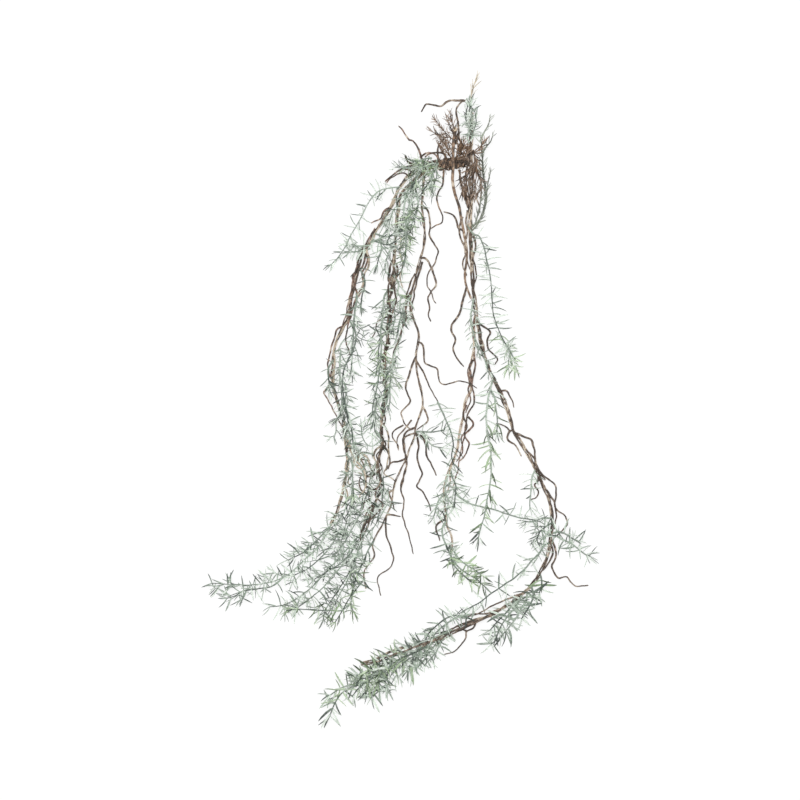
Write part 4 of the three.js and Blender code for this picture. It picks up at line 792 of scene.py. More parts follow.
        "spread": 1.2, "stalk": 0.8, "dimness": 0.9,
        "stalks": [
            [(-20.5, -105, 6), (-15.5, -109, 10.5), (-14, -119, 11.5), (-19, -132, 12), (-26, -144, 12),
             (-33, -156, 12)],
            [(-42, -120, 8), (-48, -136, 11), (-56, -152, 12), (-66, -170, 12), (-78, -186, 11)],
            [(-26, -88, 6), (-20, -98, 10), (-21, -112, 11), (-22, -126, 11), (-26, -140, 10)],
            [(-30, -124, 6), (-34, -136, 11), (-38, -150, 12), (-44, -164, 12), (-52, -178, 11)],
            [(-32, -84, 7), (-36, -95, 10), (-38, -108, 11), (-42, -120, 11)],
        ],
    },
    "shoot_outer_tail": {
        "slot": "sage_needles", "spacing": 11, "needle": 16,
        "spread": 1.2, "stalk": 0.8, "dimness": 0.9,
        "stalks": [
            [(-82, -148, 8), (-90, -164, 11.5), (-100, -178, 12.5), (-112, -189, 13), (-123, -200, 13),
             (-135, -210, 12.5), (-150, -217, 12), (-168, -221, 11), (-188, -222, 10), (-210, -221, 9),
             (-226, -219.5, 8)],
            [(-140, -213, 12), (-155, -224, 11), (-172, -227, 10), (-188, -229, 9), (-198, -235, 8.5),
             (-208, -238, 8)],
            [(-84, -152, 9), (-92, -160, 13), (-104, -172, 14), (-118, -184, 14), (-134, -192, 13)],
            [(-80, -146, 8), (-76, -160, 12), (-84, -176, 14), (-98, -192, 14), (-114, -204, 13),
             (-130, -212, 12)],
        ],
    },
    "shoot_middle_tail": {
        "slot": "sage_needles", "spacing": 10.5, "needle": 15,
        "spread": 1.2, "stalk": 0.8, "dimness": 0.9,
        "stalks": [
            [(-46.5, -160, 8), (-58, -172, 12), (-70, -186, 12.5), (-84, -201, 12.5), (-97, -215, 12.5),
             (-111, -229, 12), (-127, -240, 11.5), (-141, -246, 11), (-156, -248, 10)],
            [(-50, -168, 9), (-58, -182, 13), (-72, -196, 14), (-88, -206, 14), (-104, -216, 13)],
            [(-60, -186, 12), (-76, -206, 15), (-92, -224, 14), (-110, -240, 12), (-124, -250, 10)],
        ],
    },
    "shoot_middle_fall": {
        "slot": "sage_needles", "spacing": 9.5, "needle": 14,
        "spread": 1.2, "stalk": 0.8, "dimness": 0.9,
        "stalks": [
            [(-44, -153, 7), (-48, -174, 10), (-55, -194, 10), (-64, -212, 10), (-74, -228, 10),
             (-83, -241, 9), (-90, -254, 8.5), (-92, -264, 8)],
            [(-50, -176, 11), (-54, -194, 14), (-62, -214, 14), (-72, -232, 13), (-80, -248, 11)],
        ],
    },
    "shoot_inner_tail": {
        "slot": "fresh_needles", "spacing": 9.5, "needle": 14,
        "spread": 1.2, "stalk": 0.8, "dimness": 0.9, "fresh": (0.25, 1.2),
        "stalks": [
            [(-31, -169, 4.5), (-38, -180, 9.5), (-45, -195, 10), (-52, -212, 10), (-57, -230, 10),
             (-59, -245, 9.5), (-56, -254, 8)],
            [(-58.8, -243, 9.6), (-70, -252, 12.5), (-86, -252, 15), (-104, -251.5, 14), (-122, -251, 12),
             (-136, -253, 10)],
            [(-42, -214, 6), (-52, -226, 11), (-62, -240, 13), (-70, -254, 12), (-78, -266, 10)],
        ],
    },
    "shoot_branch": {
        "slot": "sage_needles", "spacing": 7.5, "needle": 14,
        "side_twigs": False,
        "stalks": [
            [(45, -2, 7), (51, -15, 10.5), (57, -28, 11), (62, -41, 11.5), (64, -54, 12), (62, -66, 12),
             (65, -78, 11.5)],
        ],
    },
    "shoot_inner_low": {
        "slot": "sage_needles", "spacing": 7, "needle": 14,
        "side_twigs": False,
        "stalks": [
            [(18.5, -38, 4.5), (28, -38, 9.5), (40, -38.5, 10.5), (49, -37, 10.5)],
            [(25, -38, 8.5), (31, -47, 10.5), (39, -55, 11), (50, -57.5, 11)],
        ],
    },
    "shoot_right_side": {
        "slot": "sage_needles", "spacing": 5.5, "needle": 14.5,
        "spread": 1.15, "stalk": 0.8, "dimness": 0.5, "fresh": (0.8, 1.2), "side_twigs": False,
        "stalks": [
            [(85.3, 196, 4.5), (93, 198, 9.5), (98, 190, 11), (102, 178, 12), (105, 163, 12),
             (108, 149, 12), (110, 134, 12), (110.5, 118, 12), (112.5, 102, 12), (117, 87, 12),
             (123, 74, 12), (130, 62, 11.5), (135, 51, 11)],
            [(122, 73, 10), (128, 64, 12), (131, 54, 12), (130, 44, 11), (130, 38, 10)],
            [(126, 68, 10), (132, 60, 12), (136, 50, 12), (138, 42, 11)],
        ],
    },
    "shoot_right_strand": {
        "slot": "sage_needles", "spacing": 9.5, "needle": 12,
        "stalks": [
            [(89, 124, 4), (86.5, 112, 10.5), (85, 99, 12), (87, 85, 12.5), (91, 71, 12.5), (97, 59, 12),
             (102, 46, 12), (106, 33, 11)],
        ],
    },
    "shoot_hanging": {
        "slot": "fresh_needles", "spacing": 7, "needle": 16,
        "spread": 0.85, "width": 1.1, "dimness": 0.8, "fresh": (0.28, 0.92), "side_twigs": False,
        "stalks": [
            [(112, 26, 4), (109, 15, 9.5), (106, 2, 11), (104, -14, 11.5), (103.5, -30, 11.5),
             (105.5, -46, 11.5), (108.5, -60, 11.5), (109.5, -76, 11.5), (109, -92, 13),
             (106.5, -108, 15), (103.5, -124, 16.5), (101, -138, 16), (97, -152, 13), (94, -164, 11)],
            [(108.6, 13, 9.7), (113, 4, 11), (115, -9, 11.5), (116.5, -24, 11.5), (116, -38, 10.5)],
        ],
    },
    "shoot_right_inner": {
        "slot": "sage_needles", "spacing": 7.5, "needle": 15,
        "stalks": [
            [(61, -79, 6), (62, -91, 11), (67, -103, 12.5), (66, -116, 11.5), (65, -128, 10)],
            [(60, -84, 7), (56, -96, 11), (54, -110, 11), (58, -122, 11), (56, -136, 10)],
        ],
    },
    "shoot_right_inner_low": {
        "slot": "sage_needles", "spacing": 5.5, "needle": 12,
        "stalks": [
            [(53, -113, 5), (47, -120, 10), (43, -130, 10), (40, -141, 9)],
        ],
    },
    "shoot_cross": {
        "slot": "sage_needles", "spacing": 7.5, "needle": 14,
        "side_twigs": False,
        "stalks": [
            [(63.5, -106, 8), (72, -117, 10.5), (84, -124, 10.5), (98, -128, 10), (112, -131, 10),
             (127, -136, 10.5), (141, -141, 10.5), (155, -143, 10.5), (168, -146, 10.5)],
        ],
    },
    "shoot_shoulder": {
        "slot": "sage_needles", "spacing": 7.5, "needle": 13,
        "side_twigs": False,
        "stalks": [
            [(163, -83, 4), (158, -94, 11), (157, -109, 12.5), (155.5, -122, 12.5), (155.5, -131, 13)],
        ],
    },
    "shoot_elbow_knot": {
        "slot": "sage_needles", "spacing": 6.5, "needle": 13,
        "stalks": [
            [(182.5, -148, 2), (175, -152, 9.5), (168, -158, 11), (164, -168, 10.5)],
            [(182, -156, 4), (174, -164, 10), (172, -176, 11), (166, -186, 10)],
            [(180, -142, 5), (170, -142, 10), (160, -146, 11), (150, -146, 10)],
        ],
    },
    "shoot_side_tip": {
        "slot": "sage_needles", "spacing": 5.5, "needle": 16,
        "spread": 1.3, "width": 0.9, "dimness": 0.6, "side_twigs": False,
        "stalks": [
            [(188, -163, 5), (194, -167, 10), (204, -171, 10), (214, -179, 10), (222, -185, 9.5),
             (228, -187, 9)],
            [(184, -160, 5), (192, -158, 10), (204, -164, 11), (216, -172, 10)],
        ],
    },
    "shoot_loop": {
        "slot": "sage_needles", "spacing": 7.5, "needle": 15,
        "spread": 1.15, "side_twigs": False,
        "stalks": [
            [(180.5, -172, 2.6), (174, -174, 9.5), (168, -182, 11), (160, -191, 12), (150, -202, 12),
             (138, -213, 12), (124, -222, 12), (110, -232, 12), (96, -242, 12.5), (83, -249, 13)],
        ],
    },
    "shoot_right_tail": {
        "slot": "fresh_needles", "spacing": 6, "needle": 15,
        "spread": 1.2, "width": 1.15, "dimness": 0.9, "fresh": (0.42, 1.2), "side_twigs": False,
        "stalks": [
            [(55.5, -146, 5), (51, -153, 9.5), (51.5, -164, 10.5), (57, -178, 11), (63, -191, 11.5),
             (71, -201, 12), (82, -209, 12), (92, -215, 12), (99, -222, 11)],
            [(63, -178, 6), (70, -190, 11), (80, -198, 13), (90, -204, 13), (100, -212, 11)],
            [(60, -182, 6), (64, -196, 11), (74, -208, 12), (86, -218, 11)],
        ],
    },
    "shoot_tail_upper": {
        "slot": "sage_needles", "spacing": 5.5, "needle": 14,
        "spread": 1.2, "width": 1.15, "side_twigs": False,
        "stalks": [
            [(84, -257.3, 11), (75, -258.5, 15), (65, -262, 16), (55, -268, 16), (46, -276, 15),
             (40, -283, 13)],
            [(78, -262, 9), (66, -258, 14), (54, -262, 16), (44, -270, 16), (34, -280, 14)],
            [(62, -276, 8), (52, -280, 13), (42, -284, 15), (30, -288, 14), (18, -292, 12)],
        ],
    },
    "shoot_tail": {
        "slot": "sage_needles", "spacing": 5.5, "needle": 18,
        "spread": 1.2, "width": 1.15, "dimness": 0.62, "fresh": (0.55, 0.8), "side_twigs": False,
        "stalks": [
            [(31, -293.2, 2.7), (22, -299.5, 10), (8, -307.5, 11.5), (-6, -316, 12), (-20, -326, 12.5),
             (-34, -334, 12.5), (-48, -340.5, 12.5), (-62, -345.5, 12), (-72, -354, 11), (-79, -367, 10),
             (-84, -379, 9)],
            [(-20, -326, 12.5), (-26, -338, 11), (-30, -348, 10), (-34, -357, 9)],
            [(-12, -320, 12), (-24, -329, 14), (-36, -333, 14), (-48, -334, 13)],
            [(-28, -331, 12), (-40, -338, 13), (-50, -346, 13), (-57, -355, 11)],
            [(-48, -341, 12), (-62, -342, 14), (-74, -347, 13), (-84, -354, 11)],
            [(10, -306, 11), (2, -313, 13), (-4, -321, 13), (-4, -329, 12)],
            [(20, -301, 10), (16, -309, 12), (12, -317, 12), (12, -324, 11)],
            [(28, -291, 4), (12, -299, 9), (-6, -307, 11), (-24, -314, 10)],
            [(34, -292, 8), (26, -298, 13), (14, -304, 14), (2, -309, 14), (-8, -315, 13)],
        ],
    },
    "shoot_tail_low": {
        "slot": "sage_needles", "spacing": 5.5, "needle": 14,
        "spread": 1.2, "width": 1.15, "side_twigs": False,
        "stalks": [
            [(48, -287, 4.2), (40, -297, 9.5), (33, -306, 9.5), (27, -315, 9)],
            [(40, -291, 7), (30, -302, 11), (20, -312, 12), (8, -324, 11)],
            [(56, -281, 7), (48, -292, 11), (44, -302, 11), (36, -312, 10)],
        ],
    },
    "shoot_tail_side": {
        "slot": "fresh_needles", "spacing": 5, "needle": 16,
        "spread": 1.2, "width": 1.15, "dimness": 0.62, "fresh": (-0.2, 0.75), "side_twigs": False,
        "stalks": [
            [(-27, -311.3, 4.8), (-33, -320, 10), (-42, -327, 10.5), (-54, -331, 10)],
            [(-14, -310, 9), (-20, -320, 13), (-24, -331, 14), (-26, -341, 13), (-24, -350, 12)],
            [(-10, -316, 10), (-14, -327, 13), (-18, -338, 14), (-14, -348, 12)],
            [(-20, -318, 11), (-30, -327, 14), (-37, -337, 14), (-40, -349, 12)],
        ],
    },
    "shoot_elbow": {
        "slot": "sage_needles", "spacing": 7, "needle": 18,
        "spread": 1.2, "width": 1.25, "side_twigs": False,
        "stalks": [
            [(152, -229, 5), (152, -239, 10), (146, -250, 11), (139, -262, 11.5), (130, -274, 11),
             (120, -284, 10), (110, -293, 9)],
            [(146, -235, 7), (140, -246, 12), (130, -258, 13), (122, -270, 12), (116, -282, 11)],
            [(158, -224, 6), (160, -236, 10), (154, -250, 11), (146, -262, 11)],
            [(138, -242, 7), (128, -254, 12), (118, -264, 12), (108, -276, 11)],
        ],
    },
    "shoot_elbow_tuft": {
        "slot": "sage_needles", "spacing": 6, "needle": 17,
        "spread": 1.2, "width": 1.2, "fresh": (0.2, 0.7), "side_twigs": False,
        "stalks": [
            [(168, -208, 3.6), (170, -215, 9), (170, -223, 10), (167, -231, 10)],
        ],
    },
}


def colour_setting(name, description, tint):
    """A colour that a user may change."""
    return bpy.props.FloatVectorProperty(
        name=name,
        description=description,
        default=(*tint, 1.0),
        size=4,
        subtype="COLOR",
    )


class FernNeedles(bpy.types.PropertyGroup):
    """Sizes and colours of the leafy shoots."""

    slimness: bpy.props.FloatProperty(
        name="Needle width",
        description="Width of a needle as a share of its length",
        default=0.11,
        min=0.02,
        max=0.5,
        subtype="FACTOR",
    )
    length_share: bpy.props.FloatProperty(
        name="Needle length",
        description="Length of the needles as a share of each shoot's own",
        default=1.2,
        min=0.3,
        max=2.0,
        subtype="FACTOR",
    )
    crowding: bpy.props.FloatProperty(
        name="Whorl spacing",
        description="Distance between whorls as a share of each shoot's own",
        default=0.82,
        min=0.3,
        max=1.5,
        subtype="FACTOR",
    )
    curl: bpy.props.FloatProperty(
        name="Curl",
        description="Most that a needle bends from its foot to its tip",
        default=1.0,
        min=0.0,
        max=1.5,
        subtype="ANGLE",
    )
    sage_shade: colour_setting("Sage, shaded", "Darkest of the grey-green needles", (0.062, 0.082, 0.069))
    sage_bloom: colour_setting("Sage, bloom", "Palest of the grey-green needles", (0.67, 0.745, 0.655))
    fresh_shade: colour_setting("Fresh, shaded", "Darkest of the fresh green needles", (0.055, 0.085, 0.045))
    fresh_bloom: colour_setting("Fresh, bloom", "Palest of the fresh green needles", (0.56, 0.67, 0.49))
    olive_shade: colour_setting("Olive, shaded", "Darkest of the olive needles", (0.09, 0.098, 0.08))
    olive_bloom: colour_setting("Olive, bloom", "Palest of the olive needles", (0.5, 0.53, 0.46))
    dry_shade: colour_setting("Dry, shaded", "Darkest of the dry needles", (0.035, 0.024, 0.018))
    dry_bloom: colour_setting("Dry, bloom", "Palest of the dry needles", (0.33, 0.235, 0.172))
    pale_shade: colour_setting("Straw, shaded", "Darkest of the straw-coloured needles", (0.36, 0.31, 0.23))
    pale_bloom: colour_setting("Straw, bloom", "Palest of the straw-coloured needles", (0.68, 0.62, 0.52))


class FernBark(bpy.types.PropertyGroup):
    """Sizes and colours of the strands and roots."""

    winding: bpy.props.FloatProperty(
        name="Winding",
        description="Length of strand in which its twigs wind once round each other",
        default=0.06,
        min=0.02,
        max=0.3,
        unit="LENGTH",
    )
    root_width: bpy.props.FloatProperty(
        name="Root width",
        description="Width of a wiry root where it leaves its strand",
        default=0.0027,
        min=0.0005,
        max=0.004,
        unit="LENGTH",
    )
    root_wiggle: bpy.props.FloatProperty(
        name="Root wiggle",
        description="How far a wiry root strays to each side",
        default=0.0013,
        min=0.0,
        max=0.005,
        unit="LENGTH",
    )
    # Dark bark: the bark's own darkest colour, which also stands in as painted shade in the hollows
    dark: colour_setting("Dark bark", "Darkest bark, in the hollows", (0.07, 0.053, 0.043))
    brown: colour_setting("Brown bark", "Main colour of the dark strands", (0.2, 0.147, 0.112))
    red: colour_setting("Red bark", "Main colour of the reddish strands", (0.245, 0.15, 0.115))
    # Tan bark: on the ridges it is worn bark and a painted highlight; it also colours the pale specks and
    # the rings of cut wood
    tan: colour_setting("Tan bark", "Worn bark on the ridges, and the rings of cut wood", (0.56, 0.48, 0.38))
    weathered: colour_setting("Weathered bark", "Main colour of the older twigs", (0.46, 0.39, 0.295))
    stem: colour_setting("Stem bark", "Main colour of the main stem and the root knot", (0.3, 0.195, 0.13))
    heart: colour_setting("Cut wood", "Fresh wood of the stem's cut end", (0.72, 0.58, 0.4))


class FernStage(bpy.types.PropertyGroup):
    """Floor, light and camera."""

    floor: colour_setting("Floor", "Colour of the floor", (0.2, 0.2, 0.2))
    glow: bpy.props.FloatProperty(
        name="Floor glow",
        description="Light that the floor gives off, which softens the shadows on it",
        default=0.8,
        min=0.0,
        max=2.0,
    )
    sky: bpy.props.FloatProperty(
        name="Sky light",
        description="Strength of the even light from all round",
        default=0.28,
        min=0.0,
        max=5.0,
    )
    panel_power: bpy.props.FloatProperty(
        name="Panel light",
        description="Power of the large soft light",
        default=98.0,
        min=0.0,
        max=2000.0,
        unit="POWER",
    )
    lens: bpy.props.FloatProperty(
        name="Lens",
        description="Focal length of the camera, in millimetres",
        default=100.0,
        min=20.0,
        max=300.0,
        unit="CAMERA",
    )
    frame_width: bpy.props.FloatProperty(
        name="Frame width",
        description="Width of the picture at the height of the sprig",
        default=0.96,
        min=0.2,
        max=5.0,
        unit="LENGTH",
    )


def seeded(name):
    """A repeatable stream of random numbers for one piece."""
    return random.Random("fern sprig " + name)


def blend(low, high, share):
    """The number that lies at a share of the way from low to high."""
    return low + (high - low) * share


def around(side, up, angle):
    """Direction at an angle round a line, from side towards up."""
    return side * math.cos(angle) + up * math.sin(angle)


def smooth_route(points, step):
    """Evenly spaced points, in metres, on a smooth curve through points in millimetres."""
    knots = [Vector(point) * MILLIMETRE for point in points]
    knots.insert(0, 2 * knots[0] - knots[1])
    knots.append(2 * knots[-1] - knots[-2])
    fine = []
    for before, start, end, after in zip(knots, knots[1:], knots[2:], knots[3:]):
        pieces = max(FEWEST_STRETCHES, math.ceil(FINENESS * (end - start).length / step))
        for piece in range(pieces):
            share = piece / pieces
            straight = (end - before) * share
            second = (2 * before - 5 * start + 4 * end - after) * share**2
            third = (3 * start - before - 3 * end + after) * share**3
            fine.append(start + 0.5 * (straight + second + third))
    fine.append(knots[-2])
    return evenly_spaced(fine, step)


def evenly_spaced(fine, step):
    """The same line with its points at even distances, close to step."""
    reach = [0.0]
    for here, there in zip(fine, fine[1:]):
        reach.append(reach[-1] + (there - here).length)
    count = max(FEWEST_STRETCHES, round(reach[-1] / step))
    spaced = []
    at = 0
    for index in range(count + 1):
        wanted = reach[-1] * index / count
        while at < len(fine) - 2 and reach[at + 1] < wanted:
            at += 1
        gap = max(reach[at + 1] - reach[at], SHORTEST_STRETCH)
        spaced.append(fine[at].lerp(fine[at + 1], min(1.0, (wanted - reach[at]) / gap)))
    return spaced


def path_length(path):
    """Length of a line of points."""
    return sum((there - here).length for here, there in zip(path, path[1:]))


def carried_frames(path):
    """Heading, side and up at each point of a path, carried along it without twist."""
    side = (path[1] - path[0]).orthogonal().normalized()
    frames = []
    for index in range(len(path)):
        ahead = path[min(index + 1, len(path) - 1)]
        behind = path[max(index - 1, 0)]
        heading = (ahead - behind).normalized()
        side = (side - heading * side.dot(heading)).normalized()
        frames.append((heading, side, heading.cross(side)))
    return frames


def strayed(path, amount, wave, seed):
    """The path with small wiggles that fade out at its root."""
    moved = []
    travelled = 0.0
    for index, point in enumerate(path):
        if index:
            travelled += (point - path[index - 1]).length
        fade = min(1.0, travelled / (WIGGLE_ONSET * wave))
        phase = travelled / wave
        stray = Vector([noise.noise(Vector((phase, seed, depth))) for depth in WIGGLE_SLICES])
        stray.z *= WIGGLE_HEIGHT
        moved.append(point + stray * amount * fade)
    return moved


class PieceSketch:
    """Points, faces and finish numbers of one piece while it is being made."""

    def __init__(self):
        self.points = []
        self.faces = []
        self.coats = []
        self.tone = []
        self.along = []

    def add_point(self, place, tone, along):
        """Stores a point, never below the surface that the sprig lies on."""
        self.points.append((place.x, place.y, max(place.z, 0.0)))
        self.tone.append(tone)
        self.along.append(along)
        return len(self.points) - 1

    def add_face(self, corners, coat):
        """Stores a face and the finish that it wears."""
        self.faces.append(corners)
        self.coats.append(coat)

    def add_tube(self, path, radii, sides, tone, lumps, seed=0.0, coat=0):
        """A tube with a closed root and a pointed end, uneven by the share in lumps."""
        rings = []
        last = len(path) - 1
        for index, (_, side, up) in enumerate(carried_frames(path)):
            ring = []
            for corner in range(sides):
                out = around(side, up, FULL_TURN * corner / sides)
                bump = noise.noise(path[index] * LUMPS_ALONG + out * LUMPS_ROUND + Vector((seed, 0, seed)))
                place = path[index] + out * radii[index] * (1 + lumps * bump)
                ring.append(self.add_point(place, tone, index / last))
            rings.append(ring)
        for here, there in zip(rings, rings[1:]):
            for corner in range(sides):
                following = (corner + 1) % sides
                self.add_face((here[corner], here[following], there[following], there[corner]), coat)
        self.add_face(tuple(reversed(rings[0])), coat)
        heading = (path[-1] - path[-2]).normalized()
        tip = self.add_point(path[-1] + heading * radii[-1] * POINT_LENGTH, tone, 1.0)
        for corner in range(sides):
            self.add_face((rings[-1][corner], rings[-1][(corner + 1) % sides], tip), coat)
        return rings

    def add_needle(self, foot, aim, bend, face, length, width, curl, tone, coat):
        """A narrow keeled blade from its foot along aim, bending towards bend, with its channel on face."""
        across = aim.cross(face).normalized()
        face = across.cross(aim).normalized()
        sections = []
        for share, fullness in NEEDLE_SECTIONS:
            middle = foot + aim * length * share + bend * length * curl * 0.5 * share**2
            half = 0.5 * width * fullness
            outline = (
                middle - across * half,
                middle - face * half * NEEDLE_CHANNEL,
                middle + across * half,
                middle - face * half * (NEEDLE_CHANNEL + NEEDLE_KEEL),
            )
            sections.append([self.add_point(place, tone, share) for place in outline])
        end = foot + aim * length + bend * length * curl * 0.5
        tip = self.add_point(end, tone, 1.0)
        for here, there in zip(sections, sections[1:]):
            for corner in range(NEEDLE_SIDES):
                following = (corner + 1) % NEEDLE_SIDES
                self.add_face((here[following], here[corner], there[corner], there[following]), coat)
        for corner in range(NEEDLE_SIDES):
            self.add_face((sections[-1][(corner + 1) % NEEDLE_SIDES], sections[-1][corner], tip), coat)
        self.add_face(tuple(sections[0]), coat)

    def finished(self, node, finishes):
        """Makes the piece as an object that rides with the sprig and stands for its node."""
        mesh = bpy.data.meshes.new(node + "_fine")
        mesh.from_pydata(self.points, [], self.faces)
        for finish in finishes:
            mesh.materials.append(finish)
        mesh.polygons.foreach_set("material_index", self.coats)
        mesh.polygons.foreach_set("use_smooth", [True] * len(self.faces))
        for label, values in (("tone", self.tone), ("along", self.along)):
            mesh.attributes.new(label, "FLOAT", "POINT").data.foreach_set("value", values)
        mesh.set_sharp_from_angle(angle=SHARP_EDGE)
        mesh.update()
        piece = bpy.data.objects.new(node + "_fine", mesh)
        bpy.context.collection.objects.link(piece)
        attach(piece, BODY)
        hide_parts(node)


class FinishSketch:
    """A material while its nodes are being laid out."""

    def __init__(self, name):
        self.material = bpy.data.materials.new(name)
        self.material.use_nodes = True
        self.nodes = self.material.node_tree.nodes
        self.links = self.material.node_tree.links
        self.surface = self.nodes["Principled BSDF"]
        self.place = self.nodes.new("ShaderNodeTexCoord").outputs["Object"]

    def number(self, label):
        """A number stored on the piece's points."""
        node = self.nodes.new("ShaderNodeAttribute")
        node.attribute_name = label
        return node.outputs["Fac"]

    def grain(self, scale, detail):
        """Cloudy noise over the piece, with features about 1 / scale metres across."""
        node = self.nodes.new("ShaderNodeTexNoise")
        node.inputs["Scale"].default_value = scale
        node.inputs["Detail"].default_value = detail
        self.links.new(self.place, node.inputs["Vector"])
        return node.outputs["Fac"]

    def reach(self, value, source, target):
        """A number moved from one range to another, and held inside it."""
        node = self.nodes.new("ShaderNodeMapRange")
        node.inputs["From Min"].default_value = source[0]
        node.inputs["From Max"].default_value = source[1]
        node.inputs["To Min"].default_value = target[0]
        node.inputs["To Max"].default_value = target[1]
        self.links.new(value, node.inputs["Value"])
        return node.outputs["Result"]

    def sum_of(self, one, other):
        """Two numbers added."""
        node = self.nodes.new("ShaderNodeMath")
        node.operation = "ADD"
        self.links.new(one, node.inputs[0])
        self.links.new(other, node.inputs[1])
        return node.outputs["Value"]

    def to_and_fro(self, value, width):
        """A number that climbs to width and falls back again, over and over."""
        node = self.nodes.new("ShaderNodeMath")
        node.operation = "PINGPONG"
        node.inputs[1].default_value = width
        self.links.new(value, node.inputs[0])
        return node.outputs["Value"]

    def ramp(self, value, stops, colours):
        """A colour picked by a number, with one of the colours at each stop."""
        node = self.nodes.new("ShaderNodeValToRGB")
        elements = node.color_ramp.elements
        while len(elements) < len(stops):
            elements.new(stops[1])
        for element, position, colour in zip(elements, stops, colours):
            element.position = position
            element.color = colour
        self.links.new(value, node.inputs["Fac"])
        return node.outputs["Color"]

    def mixed(self, share, first, second):
        """Two colours mixed by a number. The second is a link or a plain colour."""
        node = self.nodes.new("ShaderNodeMix")
        node.data_type = "RGBA"
        factor, one, other = node.inputs[0], node.inputs[6], node.inputs[7]
        self.links.new(share, factor)
        self.links.new(first, one)
        if isinstance(second, bpy.types.NodeSocket):
            self.links.new(second, other)
        else:
            other.default_value = second
        return node.outputs[2]

    def close(self, colour, roughness, height, depth):
        """Sends colour, roughness and relief to the surface."""
        relief = self.nodes.new("ShaderNodeBump")
        relief.inputs["Strength"].default_value = RELIEF_STRENGTH
        relief.inputs["Distance"].default_value = depth
        self.links.new(height, relief.inputs["Height"])
        self.links.new(relief.outputs["Normal"], self.surface.inputs["Normal"])
        self.links.new(colour, self.surface.inputs["Base Color"])
        self.links.new(roughness, self.surface.inputs["Roughness"])
        self.surface.inputs["Specular IOR Level"].default_value = SHEEN
        return self.material


def blend_to_grey(tint, share):
    """A colour moved towards the mean of its red, green and blue, or away from it past a share of 0."""
    mean = sum(tint[:3]) / 3
    return tuple(blend(part, mean, share) for part in tint)


def needle_finish(slot, shade, bloom):
    """Waxy needle skin: a tone for each needle, vivid at its foot, darker at its tip, greyed in patches."""
    sketch = FinishSketch(slot + "_skin")
    dust = sketch.grain(*DUST_GRAIN)
    tone = sketch.sum_of(sketch.number("tone"), sketch.reach(dust, NOISE_RANGE, DUST_TONES))
    tone = sketch.sum_of(tone, sketch.reach(sketch.number("along"), BLADE_SPAN, BLADE_TONES))
    middle = tuple(blend(low, high, MIDDLE_SHARE) for low, high in zip(shade, bloom))
    middle = blend_to_grey(middle, 1 - VIVID_MIDDLE)
    tints = (tuple(shade), middle, tuple(bloom))
    colour = sketch.ramp(tone, TONE_STOPS, tints)
    grey = sketch.ramp(tone, TONE_STOPS, [blend_to_grey(tint, GREYNESS) for tint in tints])
    greyed = sketch.reach(sketch.grain(*GREYING_GRAIN), GREY_RANGE, WHOLE)
    colour = sketch.mixed(greyed, colour, grey)
    foot = sketch.reach(sketch.number("along"), FOOT_SPAN, FOOT_SHARES)
    colour = sketch.mixed(foot, colour, middle)
    rough = sketch.reach(dust, NOISE_RANGE, NEEDLE_ROUGHNESS)
    return sketch.close(colour, rough, sketch.grain(*NEEDLE_RELIEF), NEEDLE_DEPTH)


def bark_finish(name, main, bark):
    """Cracked bark: dark hollows of dark bark with painted shade, a main colour and tan ridges of worn bark
    with a painted highlight, with a tone for each twig.
    """
    sketch = FinishSketch(name + "_bark")
    cracks = sketch.grain(*CRACK_GRAIN)
    tone = sketch.reach(sketch.number("tone"), WHOLE, TWIG_TONES)
    patches = sketch.reach(sketch.grain(*PATCH_GRAIN), PATCH_RANGE, PATCH_TONES)
    value = sketch.sum_of(sketch.sum_of(cracks, tone), patches)
    # Painted shade in the dark hollows and a painted highlight on the tan ridges, on top of the bark's own
    # dark and worn colours
    colour = sketch.ramp(value, BARK_STOPS, (tuple(bark.dark), tuple(main), tuple(bark.tan)))
    specks = sketch.reach(sketch.grain(*SPECK_GRAIN), SPECK_RANGE, SPECK_SHARES)
    colour = sketch.mixed(specks, colour, tuple(bark.tan))
    rough = sketch.reach(cracks, NOISE_RANGE, BARK_ROUGHNESS)
    return sketch.close(colour, rough, sketch.grain(*BARK_RELIEF), BARK_DEPTH)


def cut_finish(bark):
    """Fresh wood of the cut end, with rings round its middle."""
    sketch = FinishSketch("stem_cut_end")
    ring = sketch.to_and_fro(sketch.number("along"), RING_WIDTH)
    share = sketch.reach(ring, (0.0, RING_WIDTH), RING_SHARES)
    grain = sketch.grain(*WOOD_GRAIN)
    colour = sketch.ramp(grain, WOOD_STOPS, (tuple(bark.tan), tuple(bark.heart)))
    colour = sketch.mixed(share, colour, tuple(bark.tan))
    rough = sketch.reach(grain, NOISE_RANGE, WOOD_ROUGHNESS)
    return sketch.close(colour, rough, grain, WOOD_DEPTH)


def add_root(sketch, points, bark, rng, coat=0, stout=1.0):
    """A thin wiry root or twig that wiggles and tapers to a point."""
    path = smooth_route(points, ROOT_STEP)
    path = strayed(path, bark.root_wiggle, ROOT_WAVE, rng.uniform(*WIGGLE_SEEDS))
    count = len(path) - 1
    thick = 0.5 * stout * bark.root_width * rng.uniform(*ROOT_WIDTHS)
    radii = [thick * blend(1.0, ROOT_TAPER, index / count) for index in range(count + 1)]
    tone = rng.uniform(*ROOT_TONES[coat])
    sketch.add_tube(path, radii, ROOT_SIDES, tone, ROOT_LUMPS, rng.uniform(*LUMP_SEEDS), coat)


